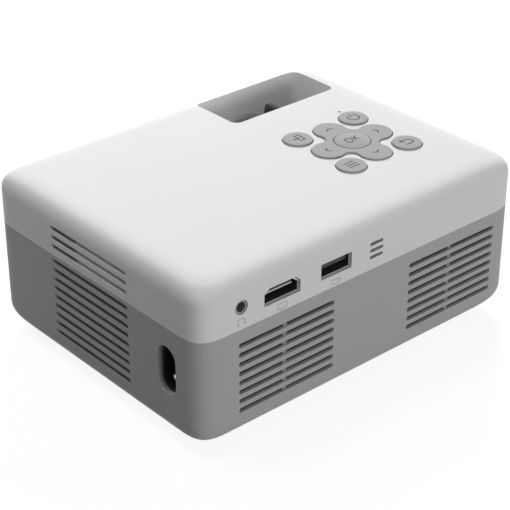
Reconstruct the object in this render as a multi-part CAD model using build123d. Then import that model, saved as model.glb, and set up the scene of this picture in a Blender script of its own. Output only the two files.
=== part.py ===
from build123d import *
import math
import os

# A compact video projector, in millimetres. +Z is up, the lens looks along -Y, the sockets are on
# the +Y face and the mains inlet on the +X face. The origin is on the table, under the middle.

# Case
case_width = 145.0
case_depth = 112.0
case_height = 60.0
foot_stand = 1.5
parting_height = 41.4
wall = 2.2
seam = 0.1
corner_reach = 11.7
corner_fullness = 0.8
top_round_in = 9.6
top_round_down = 6.8
top_fullness = 0.75
bottom_round = 8.9
bottom_fullness = 0.552
corner_tightening = 0.35
loft_steps = 12
lip_height = 1.6
lip_thickness = 0.9

# Ventilation slots
slot_height = 1.7
slot_pitch = 3.48
rear_slot_drop = 5.9
rear_slot_rows = 8
rear_slots_a_inset = 36.45
rear_slots_a_length = 40.9
rear_slots_b_inset = 32.15
rear_slots_b_length = 42.3
side_slots_y = -0.8
side_slots_length = 41.7
side_slot_drop = 2.3
side_slot_rows = 9
upper_slot_rise = 3.4
upper_slot_rows = 3
ray_slot_inset = 6.0
ray_slot_length = 6.1
ray_slot_height = 1.2
ray_slot_pitch = 2.46
ray_slot_rows = 3
ray_slot_drop = 0.7
slot_rib_thickness = 1.6
slot_rib_depth = 1.8
slot_rib_offset = 0.5
slot_rib_recess = 0.9

# Focus well and lens
lens_height = 30.0
well_width = 49.4
well_length = 24.9
well_wall = 1.6
well_skin = 0.2
well_front_corner = 5.0
well_rear_corner = 3.0
barrel_radius = 15.0
barrel_wall = 2.4
barrel_length = 38.0
barrel_setback = 4.5
running_gap = 0.06
focus_ring_wall = 3.0
focus_ring_width = 10.0
focus_ring_setback = 11.0
lever_length = 7.1
lever_thickness = 2.9
lever_width = 8.0
lever_lean = 10.8
mount_wall = 2.2
bezel_wall = 1.4
bezel_flange = 1.9
bezel_stand = 0.6
bezel_gap = 0.9
barrel_room = 3.5
front_glass_setback = 4.6
middle_glass_setback = 18.0
rear_glass_setback = 4.4

# Light engine
engine_width = 48.0
engine_side_gap = 7.0
engine_drop = 20.0
engine_rise = 18.5
engine_wall = 2.0
groove_depth = 1.0
plate_fit = 0.1
cover_screw_radius = 0.7
cover_thickness = 1.5
condenser_radius = 10.8
led_board_side = 26.0
led_board_thickness = 1.6
emitter_side = 11.0
emitter_thickness = 0.9
sink_base = 3.0
sink_width = 40.0
sink_screw_x = 17.4
sink_screw_z = 14.5
sink_stand = 3.5
fin_thickness = 1.1
fin_pitch = 4.1
fin_count = 8
fin_depth = 8.0
sink_gap = 0.5
ear_radius = 3.4
ear_thickness = 2.5
ear_front_inset = 16.0
ear_rear_inset = 8.0
cone_setback = 26.5
cone_rear_gap = 5.5

# Fan
fan_side = 40.0
fan_thickness = 10.0
fan_height = 25.7
fan_bore = 19.0
fan_hub_radius = 9.5
fan_blade_radius = 18.2
fan_blades = 7
blade_pitch = 38.0
blade_thickness = 0.9
shaft_radius = 1.0
fan_wall_gap = 1.3
fan_fit = 0.2
cradle_wall = 1.8

# Keypad
keypad_x = -36.3
keypad_y = 9.75
key_pitch = 13.7
key_radius = 5.4
key_stand = 0.7
key_gap = 0.3
key_flange = 0.9
key_flange_thickness = 0.8
key_travel = 0.25
ok_radius = 6.5
ok_stand = 1.2
ok_dome = 0.5
ok_flange = 0.75
ok_flange_thickness = 0.5
petal_offset = 11.4
petal_radius = 6.2
petal_blend = 3.0
pad_stand = 0.6
pad_drop = 0.7
switch_side = 6.0
small_switch_side = 3.6
switch_height = 1.9
plunger_radius = 1.6
plunger_height = 0.6
press_gap = key_travel + 0.1
key_stem = 1.2
pad_flange = 0.8
petal_switch_offset = 12.5
gimbal_radius = 8.6
gimbal_rise = 1.85
gimbal_section = 0.8
pivot_radius = 0.5
pivot_ear = 0.8
pivot_ear_half = 1.1
petal_stem_radius = 1.3
flange_play = 0.3
keypad_board_side = 45.0
keypad_board_thickness = 1.2
board_screw_offset = 20.3
light_offset_x = -14.2
light_offset_y = -21.55
light_radius = 0.6

# Main board and sockets
board_thickness = 1.6
board_keypad_gap = 4.8
board_side_gap = 12.5
board_y0 = 6.0
socket_ceiling = 51.6
socket_recess = 0.8
socket_gap = 0.25
video_inset = 34.1
video_width = 14.7
video_height = 5.5
video_chamfer_x = 2.2
video_chamfer_z = 1.7
data_inset = 57.4
data_width = 13.0
data_height = 5.3
sheet = 0.35
jack_inset = 17.1
jack_height = 49.4
jack_collar_radius = 2.3
jack_bore_radius = 1.8

# Mains inlet
inlet_inset = 16.45
inlet_height = 25.5
inlet_opening_height = 17.9
inlet_opening_width = 9.3
inlet_cavity_height = 16.4
inlet_cavity_width = 8.0
inlet_cavity_depth = 11.5
inlet_body_depth = 14.0
inlet_flange = 1.6
pin_pitch = 8.6
pin_radius = 1.2
pin_root_radius = 1.0
pin_recess = 3.2
inlet_tail = 4.0

# Power board, speaker and fixings
power_board_bush_gap = 2.25
power_board_side_gap = 20.5
power_board_front_gap = 12.0
power_board_rear_gap = 14.0
power_screw_inset = 3.5
power_board_stand = 5.5
speaker_radius = 14.0
speaker_depth = 8.0
speaker_height = 19.0
post_radius = 3.0
board_post_radius = 2.4
keypad_post_radius = 1.8
board_screw_radius = 1.0
keypad_screw_radius = 0.85
screw_fit = 0.1
case_screw_radius = 1.3
screw_clearance = 0.15
case_screw_head = 2.4
head_recess = 8.0
foot_radius = 6.0
foot_pocket = 1.0
foot_inset_x = 18.5
foot_inset_y = 19.0
tripod_radius = 3.175
tripod_length = 8.0
tripod_insert_radius = 4.75

# Places that follow from the sizes above
side_x = case_width / 2
rear_y = case_depth / 2
front_y = -rear_y
base_z = foot_stand
floor_z = base_z + wall
parting_z = base_z + parting_height
top_z = base_z + case_height
ceiling_z = top_z - wall
inner_x = side_x - wall
inner_y = rear_y - wall
lens_x = engine_width / 2 + engine_side_gap - inner_x
lens_z = base_z + lens_height
focus_ring_radius = barrel_radius + focus_ring_wall
lever_reach = focus_ring_radius + lever_length
well_x0 = lens_x - well_width / 2
well_x1 = lens_x + well_width / 2
well_y0 = well_skin - inner_y
well_y1 = well_y0 + well_length
mount_radius = barrel_radius + running_gap + mount_wall
well_hole_radius = mount_radius + 0.3
bezel_inner = barrel_radius + bezel_gap
bezel_outer = bezel_inner + bezel_wall
front_hole_radius = bezel_outer + 0.15
barrel_y0 = front_y + barrel_setback
barrel_y1 = barrel_y0 + barrel_length
ring_y0 = front_y + focus_ring_setback
ring_y1 = ring_y0 + focus_ring_width
engine_front_y = barrel_y1 + barrel_room
engine_y1 = inner_y - slot_rib_depth - sink_gap - fin_depth - sink_base - sink_stand
engine_length = engine_y1 - engine_front_y
cone_y0 = engine_front_y + cone_setback
cone_y1 = engine_y1 - cone_rear_gap
engine_x0 = lens_x - engine_width / 2
engine_x1 = lens_x + engine_width / 2
engine_floor = lens_z - engine_drop
engine_top = lens_z + engine_rise
board_z = base_z + socket_ceiling
board_top = board_z + board_thickness
board_x0 = keypad_x + keypad_board_side / 2 + board_keypad_gap
board_x1 = side_x - board_side_gap
board_y1 = inner_y - 0.8
light_x = keypad_x + light_offset_x
light_y = keypad_y + light_offset_y
rear_slots_a_x = side_x - rear_slots_a_inset
rear_slots_b_x = rear_slots_b_inset - side_x
ray_slot_x = board_x0 + ray_slot_inset
video_x = side_x - video_inset
data_x = side_x - data_inset
jack_x = side_x - jack_inset
inlet_y = rear_y - inlet_inset
fan_x1 = inner_x - fan_wall_gap
fan_x0 = fan_x1 - fan_thickness
fan_z = base_z + fan_height
key_under = ceiling_z - flange_play - key_flange_thickness
switch_top = key_under - key_stem - press_gap
keypad_board_top = switch_top - plunger_height - switch_height
stem_end = switch_top + press_gap
pad_under = ceiling_z - pad_drop - key_flange_thickness
gimbal_z = keypad_board_top + gimbal_rise
pivot_ear_start = gimbal_radius + gimbal_section / 2 + 0.3
pad_hole_radius = ok_radius + key_gap
power_board_x0 = tripod_insert_radius + power_board_bush_gap
power_board_x1 = side_x - power_board_side_gap
power_board_y0 = front_y + power_board_front_gap
power_board_y1 = rear_y - power_board_rear_gap
power_board_z = floor_z + power_board_stand
cradle_y1 = side_slots_y + fan_side / 2 + fan_fit + cradle_wall
inlet_near_y = inlet_y - inlet_opening_width / 2

case_posts = [
    (8.5 - side_x, rear_y - 11.0),
    (9.5 - side_x, front_y + 36.0),
    (side_x - 8.5, (cradle_y1 + inlet_near_y) / 2),
    (side_x - 10.5, front_y + 11.0),
]
board_screws = [
    (board_x0 + 4.0, board_y0 + 5.0),
    (board_x1 - 5.0, board_y0 + 5.0),
    (video_x - 12.0, board_y1 - 6.0),
    (board_x0 + 4.0, board_y1 - 15.0),
]
power_screws = [
    (x, y)
    for x in (power_board_x0 + power_screw_inset, power_board_x1 - power_screw_inset)
    for y in (power_board_y0 + power_screw_inset, power_board_y1 - power_screw_inset)
]
ear_places = [
    (x, y)
    for x in (engine_x0 - 3.2, engine_x1 + 3.2)
    for y in (engine_front_y + ear_front_inset, engine_y1 - ear_rear_inset)
]
foot_places = [
    (sx * (side_x - foot_inset_x), sy * (rear_y - foot_inset_y)) for sx in (-1, 1) for sy in (-1, 1)
]
keypad_screws = [
    (keypad_x + sx * board_screw_offset, keypad_y + sy * board_screw_offset) for sx in (-1, 1) for sy in (-1, 1)
]
round_keys = {
    "power_key": (keypad_x - key_pitch, keypad_y - key_pitch),
    "source_key": (keypad_x + key_pitch, keypad_y - key_pitch),
    "back_key": (keypad_x - key_pitch, keypad_y + key_pitch),
    "menu_key": (keypad_x + key_pitch, keypad_y + key_pitch),
}
petal_switches = [
    (keypad_x + dx * petal_switch_offset, keypad_y + dy * petal_switch_offset)
    for dx, dy in ((1, 0), (0, 1), (-1, 0), (0, -1))
]


# Plain shapes

def block(x0, x1, y0, y1, z0, z1):
    """A box between six planes."""
    middle = Pos((x0 + x1) / 2, (y0 + y1) / 2, (z0 + z1) / 2)
    return middle * Box(x1 - x0, y1 - y0, z1 - z0)


def rod_x(x0, x1, y, z, radius):
    """A round bar along X."""
    return Pos((x0 + x1) / 2, y, z) * Rot(0, 90, 0) * Cylinder(radius, x1 - x0)


def rod_y(y0, y1, x, z, radius):
    """A round bar along Y."""
    return Pos(x, (y0 + y1) / 2, z) * Rot(90, 0, 0) * Cylinder(radius, y1 - y0)


def rod_z(z0, z1, x, y, radius):
    """A round bar along Z."""
    return Pos(x, y, (z0 + z1) / 2) * Cylinder(radius, z1 - z0)


def group(solids):
    """Separate solids kept together in one node."""
    return Compound(children=[Solid(each.solids()[0].wrapped) for each in solids])


def soft_outline(half_x, half_y, reach, z):
    """A rectangle whose corners turn in gradually, as a face."""
    lean = reach * (1 - corner_fullness)
    corners = []
    for sx, sy in ((1, 1), (-1, 1), (-1, -1), (1, -1)):
        curve = [
            (sx * half_x, sy * (half_y - reach), z),
            (sx * half_x, sy * (half_y - lean), z),
            (sx * (half_x - lean), sy * half_y, z),
            (sx * (half_x - reach), sy * half_y, z),
        ]
        corners.append(curve if sx == sy else curve[::-1])
    edges = []
    for curve, following in zip(corners, corners[1:] + corners[:1]):
        edges.append(Bezier(*curve))
        edges.append(Line(curve[-1], following[0]))
    return Face(Wire(edges))


def soft_half(half_x, half_y, reach, open_z, end_z, inset, rise, fullness):
    """Half a case: straight walls from open_z, then a soft round that ends flat at end_z."""
    up = 1 if end_z > open_z else -1
    sections = []
    for step in range(loft_steps + 1):
        t = step / loft_steps
        early = 3 * t * (1 - t) ** 2
        late = 3 * t * t * (1 - t)
        last = t ** 3
        inward = inset * (late * (1 - fullness) + last)
        climbed = rise * (early * fullness + late + last)
        section_z = end_z - up * (rise - climbed)
        section_reach = reach - corner_tightening * inward
        sections.append(soft_outline(half_x - inward, half_y - inward, section_reach, section_z))
    straight = extrude(soft_outline(half_x, half_y, reach, open_z), amount=abs(end_z - open_z) - rise, dir=(0, 0, up))
    return straight + loft(sections)


def slot_on_rear(x, z, length, height):
    """A round-ended cutter through the rear wall."""
    plane = Plane(origin=(x, rear_y, z), x_dir=(1, 0, 0), z_dir=(0, -1, 0))
    return extrude(plane * SlotOverall(length, height), amount=wall * 2, both=True)


def slot_on_side(side, y, z, length, height):
    """A round-ended cutter through a side wall; side is 1 for +X and -1 for -X."""
    plane = Plane(origin=(side * side_x, y, z), x_dir=(0, 1, 0), z_dir=(1, 0, 0))
    return extrude(plane * SlotOverall(length, height), amount=wall * 2, both=True)


def inlet_outline(height, width, x, amount):
    """An upright obround on the +X side, pushed inwards from x."""
    plane = Plane(origin=(x, inlet_y, base_z + inlet_height), x_dir=(0, 0, 1), z_dir=(-1, 0, 0))
    return extrude(plane * SlotOverall(height, width), amount=amount)


def video_profile(grow, y, amount):
    """The socket's outline with its two upper corners cut off, pushed into the case from y."""
    half = video_width / 2 + grow
    tall = video_height / 2 + grow
    points = [
        (-half, -tall),
        (half, -tall),
        (half, tall - video_chamfer_z),
        (half - video_chamfer_x, tall),
        (video_chamfer_x - half, tall),
        (-half, tall - video_chamfer_z),
    ]
    plane = Plane(origin=(video_x, y, board_z - video_height / 2 - socket_gap), x_dir=(1, 0, 0), z_dir=(0, -1, 0))
    return extrude(plane * Polygon(*points, align=None), amount=amount)


def data_profile(grow, y, amount):
    """The flat socket's outline, pushed into the case from y."""
    half = data_width / 2 + grow
    tall = data_height / 2 + grow
    middle_z = board_z - data_height / 2 - socket_gap
    return block(data_x - half, data_x + half, y - amount, y, middle_z - tall, middle_z + tall)


def pad_outline(grow):
    """The four-petal pad's outline, as a face at the origin: petal arcs joined by small hollow arcs."""
    petal = petal_radius + grow
    hollow = petal_blend - grow
    leg = petal_offset / math.sqrt(2)
    middle = leg + math.sqrt((petal_radius + petal_blend) ** 2 - leg ** 2)
    hollow_centre = Vector(middle / math.sqrt(2), middle / math.sqrt(2))
    petal_centre = Vector(petal_offset, 0)
    touch = petal_centre + (hollow_centre - petal_centre) * (petal / (petal + hollow))
    deepest = (middle - hollow) / math.sqrt(2)
    edges = []
    for turn in (0, 90, 180, 270):
        tip_arc = ThreePointArc((touch.X, -touch.Y), (petal_offset + petal, 0), (touch.X, touch.Y))
        notch_arc = ThreePointArc((touch.X, touch.Y), (deepest, deepest), (touch.Y, touch.X))
        edges.append(Rot(0, 0, turn) * tip_arc)
        edges.append(Rot(0, 0, turn) * notch_arc)
    return Face(Wire(edges))


def pan_screw(x, y, z_head, z_tip, radius, head_radius):
    """A screw whose head is at z_head and whose tip is at z_tip, along Z."""
    up = 1 if z_head > z_tip else -1
    head_height = radius
    head = rod_z(min(z_head, z_head + up * head_height), max(z_head, z_head + up * head_height), x, y, head_radius)
    shank = rod_z(min(z_head, z_tip), max(z_head, z_tip), x, y, radius)
    slot_deep = head_height / 2
    far_z = z_head + up * head_height
    near_z = far_z - up * slot_deep
    drive = [
        Pos(x, y, (far_z + near_z) / 2) * Rot(0, 0, turn) * Box(head_radius * 1.2, radius * 0.4, slot_deep)
        for turn in (0, 90)
    ]
    return head + shank - drive[0] - drive[1]


# Case

def slots_both_sides(rows, first_z, pitch):
    """The cutters of the side slots, the same on both sides."""
    cutters = []
    for side in (1, -1):
        for row in range(rows):
            cutters.append(slot_on_side(side, side_slots_y, first_z + row * pitch, side_slots_length, slot_height))
    return cutters


def well_footprint(z0, z1):
    """The open space of the focus well between two heights."""
    plan = Rectangle(well_width, well_length)
    front = plan.vertices().sort_by(Axis.Y)[:2]
    plan = fillet(front, well_front_corner)
    rear = plan.vertices().group_by(Axis.Y)[-1]
    plan = fillet(rear, well_rear_corner)
    return Pos(lens_x, (well_y0 + well_y1) / 2, z0) * extrude(plan, amount=z1 - z0)


def well_tub(z0, z1):
    """The solid that the well is cut from between two heights."""
    return block(well_x0 - well_wall, well_x1 + well_wall, -inner_y - wall / 2, well_y1 + well_wall, z0, z1)


def make_top_shell():
    """The white upper half with the focus well, key openings, socket openings and side slots."""
    outer = soft_half(
        side_x, rear_y, corner_reach, parting_z, top_z, top_round_in, top_round_down, top_fullness
    )
    inner = soft_half(
        inner_x, inner_y, corner_reach - wall, parting_z - 1, ceiling_z,
        top_round_in - wall, top_round_down - wall, top_fullness,
    )
    shell = outer - inner
    solids = [
        well_tub(parting_z + seam, ceiling_z + wall / 4) & outer,
    ]
    for x, y in case_posts:
        solids.append(rod_z(parting_z + seam, ceiling_z + wall / 2, x, y, post_radius) & outer)
    for x, y in board_screws:
        solids.append(rod_z(board_top, ceiling_z + wall / 2, x, y, board_post_radius))
    for x, y in keypad_screws:
        solids.append(rod_z(keypad_board_top, ceiling_z + wall / 2, x, y, keypad_post_radius))
    shell += solids
    cutters = [
        well_footprint(parting_z - 1, top_z + 1),
        rod_y(well_y1 - 1, well_y1 + well_wall + 1, lens_x, lens_z, well_hole_radius),
        rod_y(front_y - 1, well_y0 + 1, lens_x, lens_z, front_hole_radius),
        video_profile(socket_gap, rear_y + 1, wall + 2),
        data_profile(socket_gap, rear_y + 1, wall + 2),
        rod_y(inner_y - 1, rear_y + 1, jack_x, base_z + jack_height, jack_collar_radius + socket_gap),
        Pos(keypad_x, keypad_y, ceiling_z - 1) * extrude(pad_outline(key_gap), amount=wall + 2),
        rod_z(ceiling_z - 1, top_z + 1, light_x, light_y, light_radius + running_gap),
    ]
    for x, y in case_posts:
        cutters.append(rod_z(parting_z - 1, parting_z + 12, x, y, case_screw_radius + screw_clearance))
    for x, y in board_screws:
        cutters.append(rod_z(board_top - 1, ceiling_z - 0.2, x, y, board_screw_radius + screw_fit))
    for x, y in keypad_screws:
        cutters.append(rod_z(keypad_board_top - 1, ceiling_z - 0.2, x, y, keypad_screw_radius + screw_fit))
    cutters += slots_both_sides(upper_slot_rows, parting_z + upper_slot_rise, slot_pitch)
    for row in range(ray_slot_rows):
        ray_z = board_z - ray_slot_drop - row * ray_slot_pitch
        cutters.append(slot_on_rear(ray_slot_x, ray_z, ray_slot_length, ray_slot_height))
    for x, y in round_keys.values():
        cutters.append(rod_z(ceiling_z - 1, top_z + 1, x, y, key_radius + key_gap))
    return shell - cutters


def make_bottom_shell():
    """The grey lower half with the slot fields, inlet opening, posts and foot pockets."""
    outer = soft_half(
        side_x, rear_y, corner_reach, parting_z, base_z, bottom_round, bottom_round, bottom_fullness
    )
    inner = soft_half(
        inner_x, inner_y, corner_reach - wall, parting_z + 1, floor_z,
        bottom_round - wall, bottom_round - wall, bottom_fullness,
    )
    shell = outer - inner
    lip_z = parting_z - seam - lip_height
    lip_inner = soft_outline(
        inner_x - seam - lip_thickness, inner_y - seam - lip_thickness, corner_reach - wall, lip_z
    )
    lip_outer = soft_outline(inner_x - seam, inner_y - seam, corner_reach - wall, lip_z)
    backing = soft_outline(inner_x + wall / 2, inner_y + wall / 2, corner_reach - wall, lip_z)
    lip = extrude(lip_outer, amount=2 * lip_height, dir=(0, 0, 1))
    lip += extrude(backing, amount=lip_height, dir=(0, 0, 1))
    lip -= [
        extrude(lip_inner, amount=2 * lip_height, dir=(0, 0, 1)),
        block(
            well_x0 - well_wall - seam, well_x1 + well_wall + seam, -inner_y, well_y1 + well_wall + seam,
            lip_z - 1, parting_z + lip_height + 1,
        ),
        block(
            well_x0 - well_wall - seam, well_x1 + well_wall + seam, front_y, well_y1, parting_z - seam,
            parting_z + lip_height + 1,
        ),
    ]
    solids = [
        lip,
        rod_z(base_z + wall / 2, base_z + tripod_length + 2, 0, 0, tripod_insert_radius + 2),
    ]
    solids += fan_cradle()
    for side in (-1, 1):
        rib_x = lens_x + side * well_width / 4
        solids.append(block(rib_x - 1, rib_x + 1, well_y0 + 2, well_y1, floor_z - 0.5, bay_floor() - well_wall))
    for x, y in case_posts:
        solids.append(rod_z(base_z + wall / 2, parting_z - seam, x, y, post_radius))
    for x, y in ear_places:
        solids.append(rod_z(base_z + wall / 2, engine_floor, x, y, post_radius))
    for x, y in power_screws:
        solids.append(rod_z(base_z + wall / 2, power_board_z, x, y, post_radius))
    shell += [solid & outer for solid in solids]
    shell += speaker_cradle() & outer
    cutters = [
        rod_y(front_y - 1, well_y0 + 1, lens_x, lens_z, front_hole_radius),
        rod_z(base_z - 1, base_z + tripod_length, 0, 0, tripod_insert_radius),
        inlet_outline(inlet_opening_height, inlet_opening_width, side_x + 1, wall + 1.5),
    ]
    for x, y in case_posts:
        cutters.append(rod_z(base_z - 1, parting_z + 1, x, y, case_screw_radius + screw_clearance))
        cutters.append(rod_z(base_z - 1, base_z + head_recess, x, y, case_screw_head + screw_clearance))
    for x, y in ear_places:
        cutters.append(rod_z(floor_z, engine_floor + 1, x, y, case_screw_radius + screw_clearance))
    for x, y in power_screws:
        cutters.append(rod_z(floor_z, power_board_z + 1, x, y, board_screw_radius + screw_fit))
    for x, y in foot_places:
        cutters.append(rod_z(base_z - 1, base_z + foot_pocket, x, y, foot_radius + 0.05))
    cutters += slots_both_sides(side_slot_rows, parting_z - side_slot_drop, -slot_pitch)
    for x, length in ((rear_slots_a_x, rear_slots_a_length), (rear_slots_b_x, rear_slots_b_length)):
        for row in range(rear_slot_rows):
            cutters.append(slot_on_rear(x, parting_z - rear_slot_drop - row * slot_pitch, length, slot_height))
    return shell - cutters + slot_ribs()


def slot_ribs():
    """The upright ribs that cross the rear slots, a little way in from the outside."""
    field_top = parting_z - rear_slot_drop + slot_height
    field_low = field_top - rear_slot_rows * slot_pitch
    ribs = []
    for x in (rear_slots_a_x, rear_slots_b_x):
        rib_x0 = x + slot_rib_offset - slot_rib_thickness / 2
        rib_x1 = x + slot_rib_offset + slot_rib_thickness / 2
        ribs.append(block(rib_x0, rib_x1, inner_y - slot_rib_depth, rear_y - slot_rib_recess, field_low, field_top))
    return ribs


def bay_floor():
    """The height of the lens bay's inside floor, under the focus ring."""
    return lens_z - focus_ring_radius - 1.5


def fan_cradle():
    """Two grooved posts and a sill that the fan drops into, beside the +X wall."""
    post_top = fan_z + fan_side / 4
    low = floor_z - 0.5
    solids = [
        block(fan_x0, inner_x + 0.5, side_slots_y - 12, side_slots_y + 12, low, fan_z - fan_side / 2)
    ]
    for side in (-1, 1):
        near = side_slots_y + side * (fan_side / 2 + fan_fit)
        far = near + side * cradle_wall
        lip_edge = near - side * 1.5
        solids += [
            block(fan_x0 - cradle_wall, inner_x + 0.5, min(near, far), max(near, far), low, post_top),
            block(fan_x0 - cradle_wall, fan_x0 - fan_fit, min(lip_edge, far), max(lip_edge, far), low, post_top),
            block(fan_x1 + fan_fit, inner_x + 0.5, min(lip_edge, far), max(lip_edge, far), low, post_top),
        ]
    return solids


def speaker_cradle():
    """A low fork that holds the speaker's rim behind the rear slots."""
    rim_y1 = inner_y - slot_rib_depth - 0.2
    fork = block(
        rear_slots_a_x - 8, rear_slots_a_x + 8, rim_y1 - 3.6, rim_y1 + 0.2 + slot_rib_depth,
        floor_z - 0.5, base_z + speaker_height - speaker_radius + 2,
    )
    rim = rod_y(rim_y1 - 2.1, rim_y1 + 0.1, rear_slots_a_x, base_z + speaker_height, speaker_radius + 0.1)
    basket = rod_y(rim_y1 - 5, rim_y1, rear_slots_a_x, base_z + speaker_height, speaker_radius - 1.4)
    return fork - rim - basket


def make_lens_bay():
    """The tub under the focus well that closes it round the lens."""
    bay_z0 = bay_floor()
    bay_z1 = parting_z - seam
    tub = block(
        well_x0 - well_wall, well_x1 + well_wall, well_y0 + seam, well_y1 + well_wall, bay_z0 - well_wall, bay_z1
    )
    room = soft_outline(inner_x - seam, inner_y - seam, corner_reach - wall, bay_z0 - well_wall)
    tub = tub & extrude(room, amount=bay_z1 - bay_z0 + well_wall, dir=(0, 0, 1))
    tub -= block(well_x0, well_x1, well_y0 - 1, well_y1, bay_z0, bay_z1 + 1)
    return tub - rod_y(well_y1 - 1, well_y1 + well_wall + 1, lens_x, lens_z, well_hole_radius)


def make_lens_bezel():
    """The ring pressed into the front wall round the lens."""
    flange = rod_y(front_y - bezel_stand, front_y, lens_x, lens_z, bezel_outer + bezel_flange)
    rim = flange.edges().filter_by(GeomType.CIRCLE).group_by(Axis.Y)[0]
    flange = fillet(rim, bezel_stand * 0.7)
    sleeve = rod_y(front_y, well_y0 + 1, lens_x, lens_z, bezel_outer)
    return flange + sleeve - rod_y(front_y - 2, well_y0 + 2, lens_x, lens_z, bezel_inner)


def make_rubber_feet():
    """Four round feet pressed into their pockets."""
    feet = []
    for x, y in foot_places:
        foot = rod_z(0, base_z + foot_pocket, x, y, foot_radius)
        feet.append(fillet(foot.edges().filter_by(GeomType.CIRCLE).group_by(Axis.Z)[0], 0.4))
    return group(feet)


def make_case_screws():
    """Four long screws from under the case into the upper shell's posts."""
    head_z = base_z + head_recess
    screws = [
        pan_screw(x, y, head_z, parting_z + 10, case_screw_radius, case_screw_head) for x, y in case_posts
    ]
    return group(screws)


def make_tripod_insert():
    """The brass bush for a camera-stand screw, with a knurled groove round it."""
    bush = rod_z(base_z, base_z + tripod_length, 0, 0, tripod_insert_radius)
    groove = rod_z(base_z + 3, base_z + 5, 0, 0, tripod_insert_radius + 1)
    groove -= rod_z(base_z + 2, base_z + 6, 0, 0, tripod_insert_radius - 0.5)
    return bush - groove - rod_z(base_z - 1, base_z + tripod_length + 1, 0, 0, tripod_radius)


# Lens

def lens_element(y, radius, edge, front_bulge, rear_bulge):
    """A glass disc with ball-shaped faces: positive bulges swell outwards, negative ones are hollow."""
    y0 = y - edge / 2 - (front_bulge + 1 if front_bulge > 0 else 0)
    y1 = y + edge / 2 + (rear_bulge + 1 if rear_bulge > 0 else 0)
    disc = rod_y(y0, y1, lens_x, lens_z, radius)
    for side, bulge in ((-1, front_bulge), (1, rear_bulge)):
        if bulge:
            ball_radius = (radius ** 2 + bulge ** 2) / (2 * abs(bulge))
            middle = y + side * (edge / 2 + bulge - math.copysign(ball_radius, bulge))
            ball = Pos(lens_x, middle, lens_z) * Sphere(ball_radius)
            disc = disc & ball if bulge > 0 else disc - ball
    return disc


front_glass_radius = barrel_radius - 1.4
rear_glass_radius = front_glass_radius
glass_pocket = 7.0
front_glass_edge = 4.0


def make_lens_barrel():
    """The tube that slides in the lens mount and carries the glass."""
    barrel = rod_y(barrel_y0, barrel_y1, lens_x, lens_z, barrel_radius)
    barrel -= rod_y(barrel_y0 - 1, barrel_y1 + 1, lens_x, lens_z, barrel_radius - barrel_wall)
    barrel -= rod_y(barrel_y0 - 1, barrel_y0 + glass_pocket, lens_x, lens_z, front_glass_radius)
    barrel -= rod_y(barrel_y1 - glass_pocket, barrel_y1 + 1, lens_x, lens_z, rear_glass_radius)
    return barrel


def make_lens_retainer():
    """The thin ring that holds the front glass in the barrel, with a conical mouth."""
    ring = rod_y(barrel_y0 + 0.2, barrel_y0 + 1.8, lens_x, lens_z, front_glass_radius - 0.02)
    cone_mouth = front_glass_radius - 0.6
    mouth = Pos(lens_x, barrel_y0 + 1.0, lens_z) * Rot(90, 0, 0) * Cone(cone_mouth - 1.0, cone_mouth, 1.6)
    return ring - mouth


def make_focus_ring():
    """The ring turned by its lever, seen in the well; its lever leans at rest."""
    ring = rod_y(ring_y0, ring_y1, lens_x, lens_z, focus_ring_radius)
    lever_y = (ring_y0 + ring_y1) / 2
    lever = Pos(0, 0, (focus_ring_radius - 1 + lever_reach) / 2) * Box(
        lever_thickness, lever_width, lever_reach - focus_ring_radius + 1
    )
    lever = fillet(lever.edges().group_by(Axis.Z)[-1], lever_thickness * 0.3)
    ring += Pos(lens_x, lever_y, lens_z) * Rot(0, -lever_lean, 0) * lever
    cutters = [rod_y(ring_y0 - 1, ring_y1 + 1, lens_x, lens_z, barrel_radius + running_gap)]
    for turn in range(40, 321, 10):
        groove = Pos(lens_x, lever_y, lens_z) * Rot(0, turn, 0) * Pos(0, 0, focus_ring_radius + 0.5)
        cutters.append(groove * Box(1.0, focus_ring_width - 2, 2.0))
    return ring - cutters


def make_lens_mount():
    """The fixed tube that guides the barrel, with the flange that screws to the light engine."""
    flange_y0 = engine_front_y - 2
    tube_y0 = ring_y1 + 0.3
    mount = rod_y(tube_y0, engine_front_y, lens_x, lens_z, mount_radius)
    flange = block(
        lens_x - engine_width / 2 + 2, lens_x + engine_width / 2 - 2, flange_y0, engine_front_y,
        lens_z - mount_radius, lens_z + mount_radius,
    )
    flange = fillet(flange.edges().filter_by(Axis.Y), 3)
    mount += flange
    mount -= rod_y(tube_y0 - 1, engine_front_y + 1, lens_x, lens_z, barrel_radius + running_gap)
    for x, z in mount_screw_places():
        mount -= rod_y(flange_y0 - 1, engine_front_y + 1, x, z, 1.1)
    return mount


def mount_screw_places():
    """The four screws of the lens mount's flange."""
    reach_x = engine_width / 2 - 4.5
    reach_z = mount_radius - 3
    return [(lens_x + sx * reach_x, lens_z + sz * reach_z) for sx in (-1, 1) for sz in (-1, 1)]


# Light engine: each optical plate stands in a pair of grooves

plate_places = {
    "front_fresnel": (engine_front_y + 7.0, 2.0),
    "lcd_panel": (engine_front_y + 13.0, 2.2),
    "rear_fresnel": (engine_front_y + 19.0, 2.0),
    "heat_glass": (engine_front_y + 24.0, 1.1),
}


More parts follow.
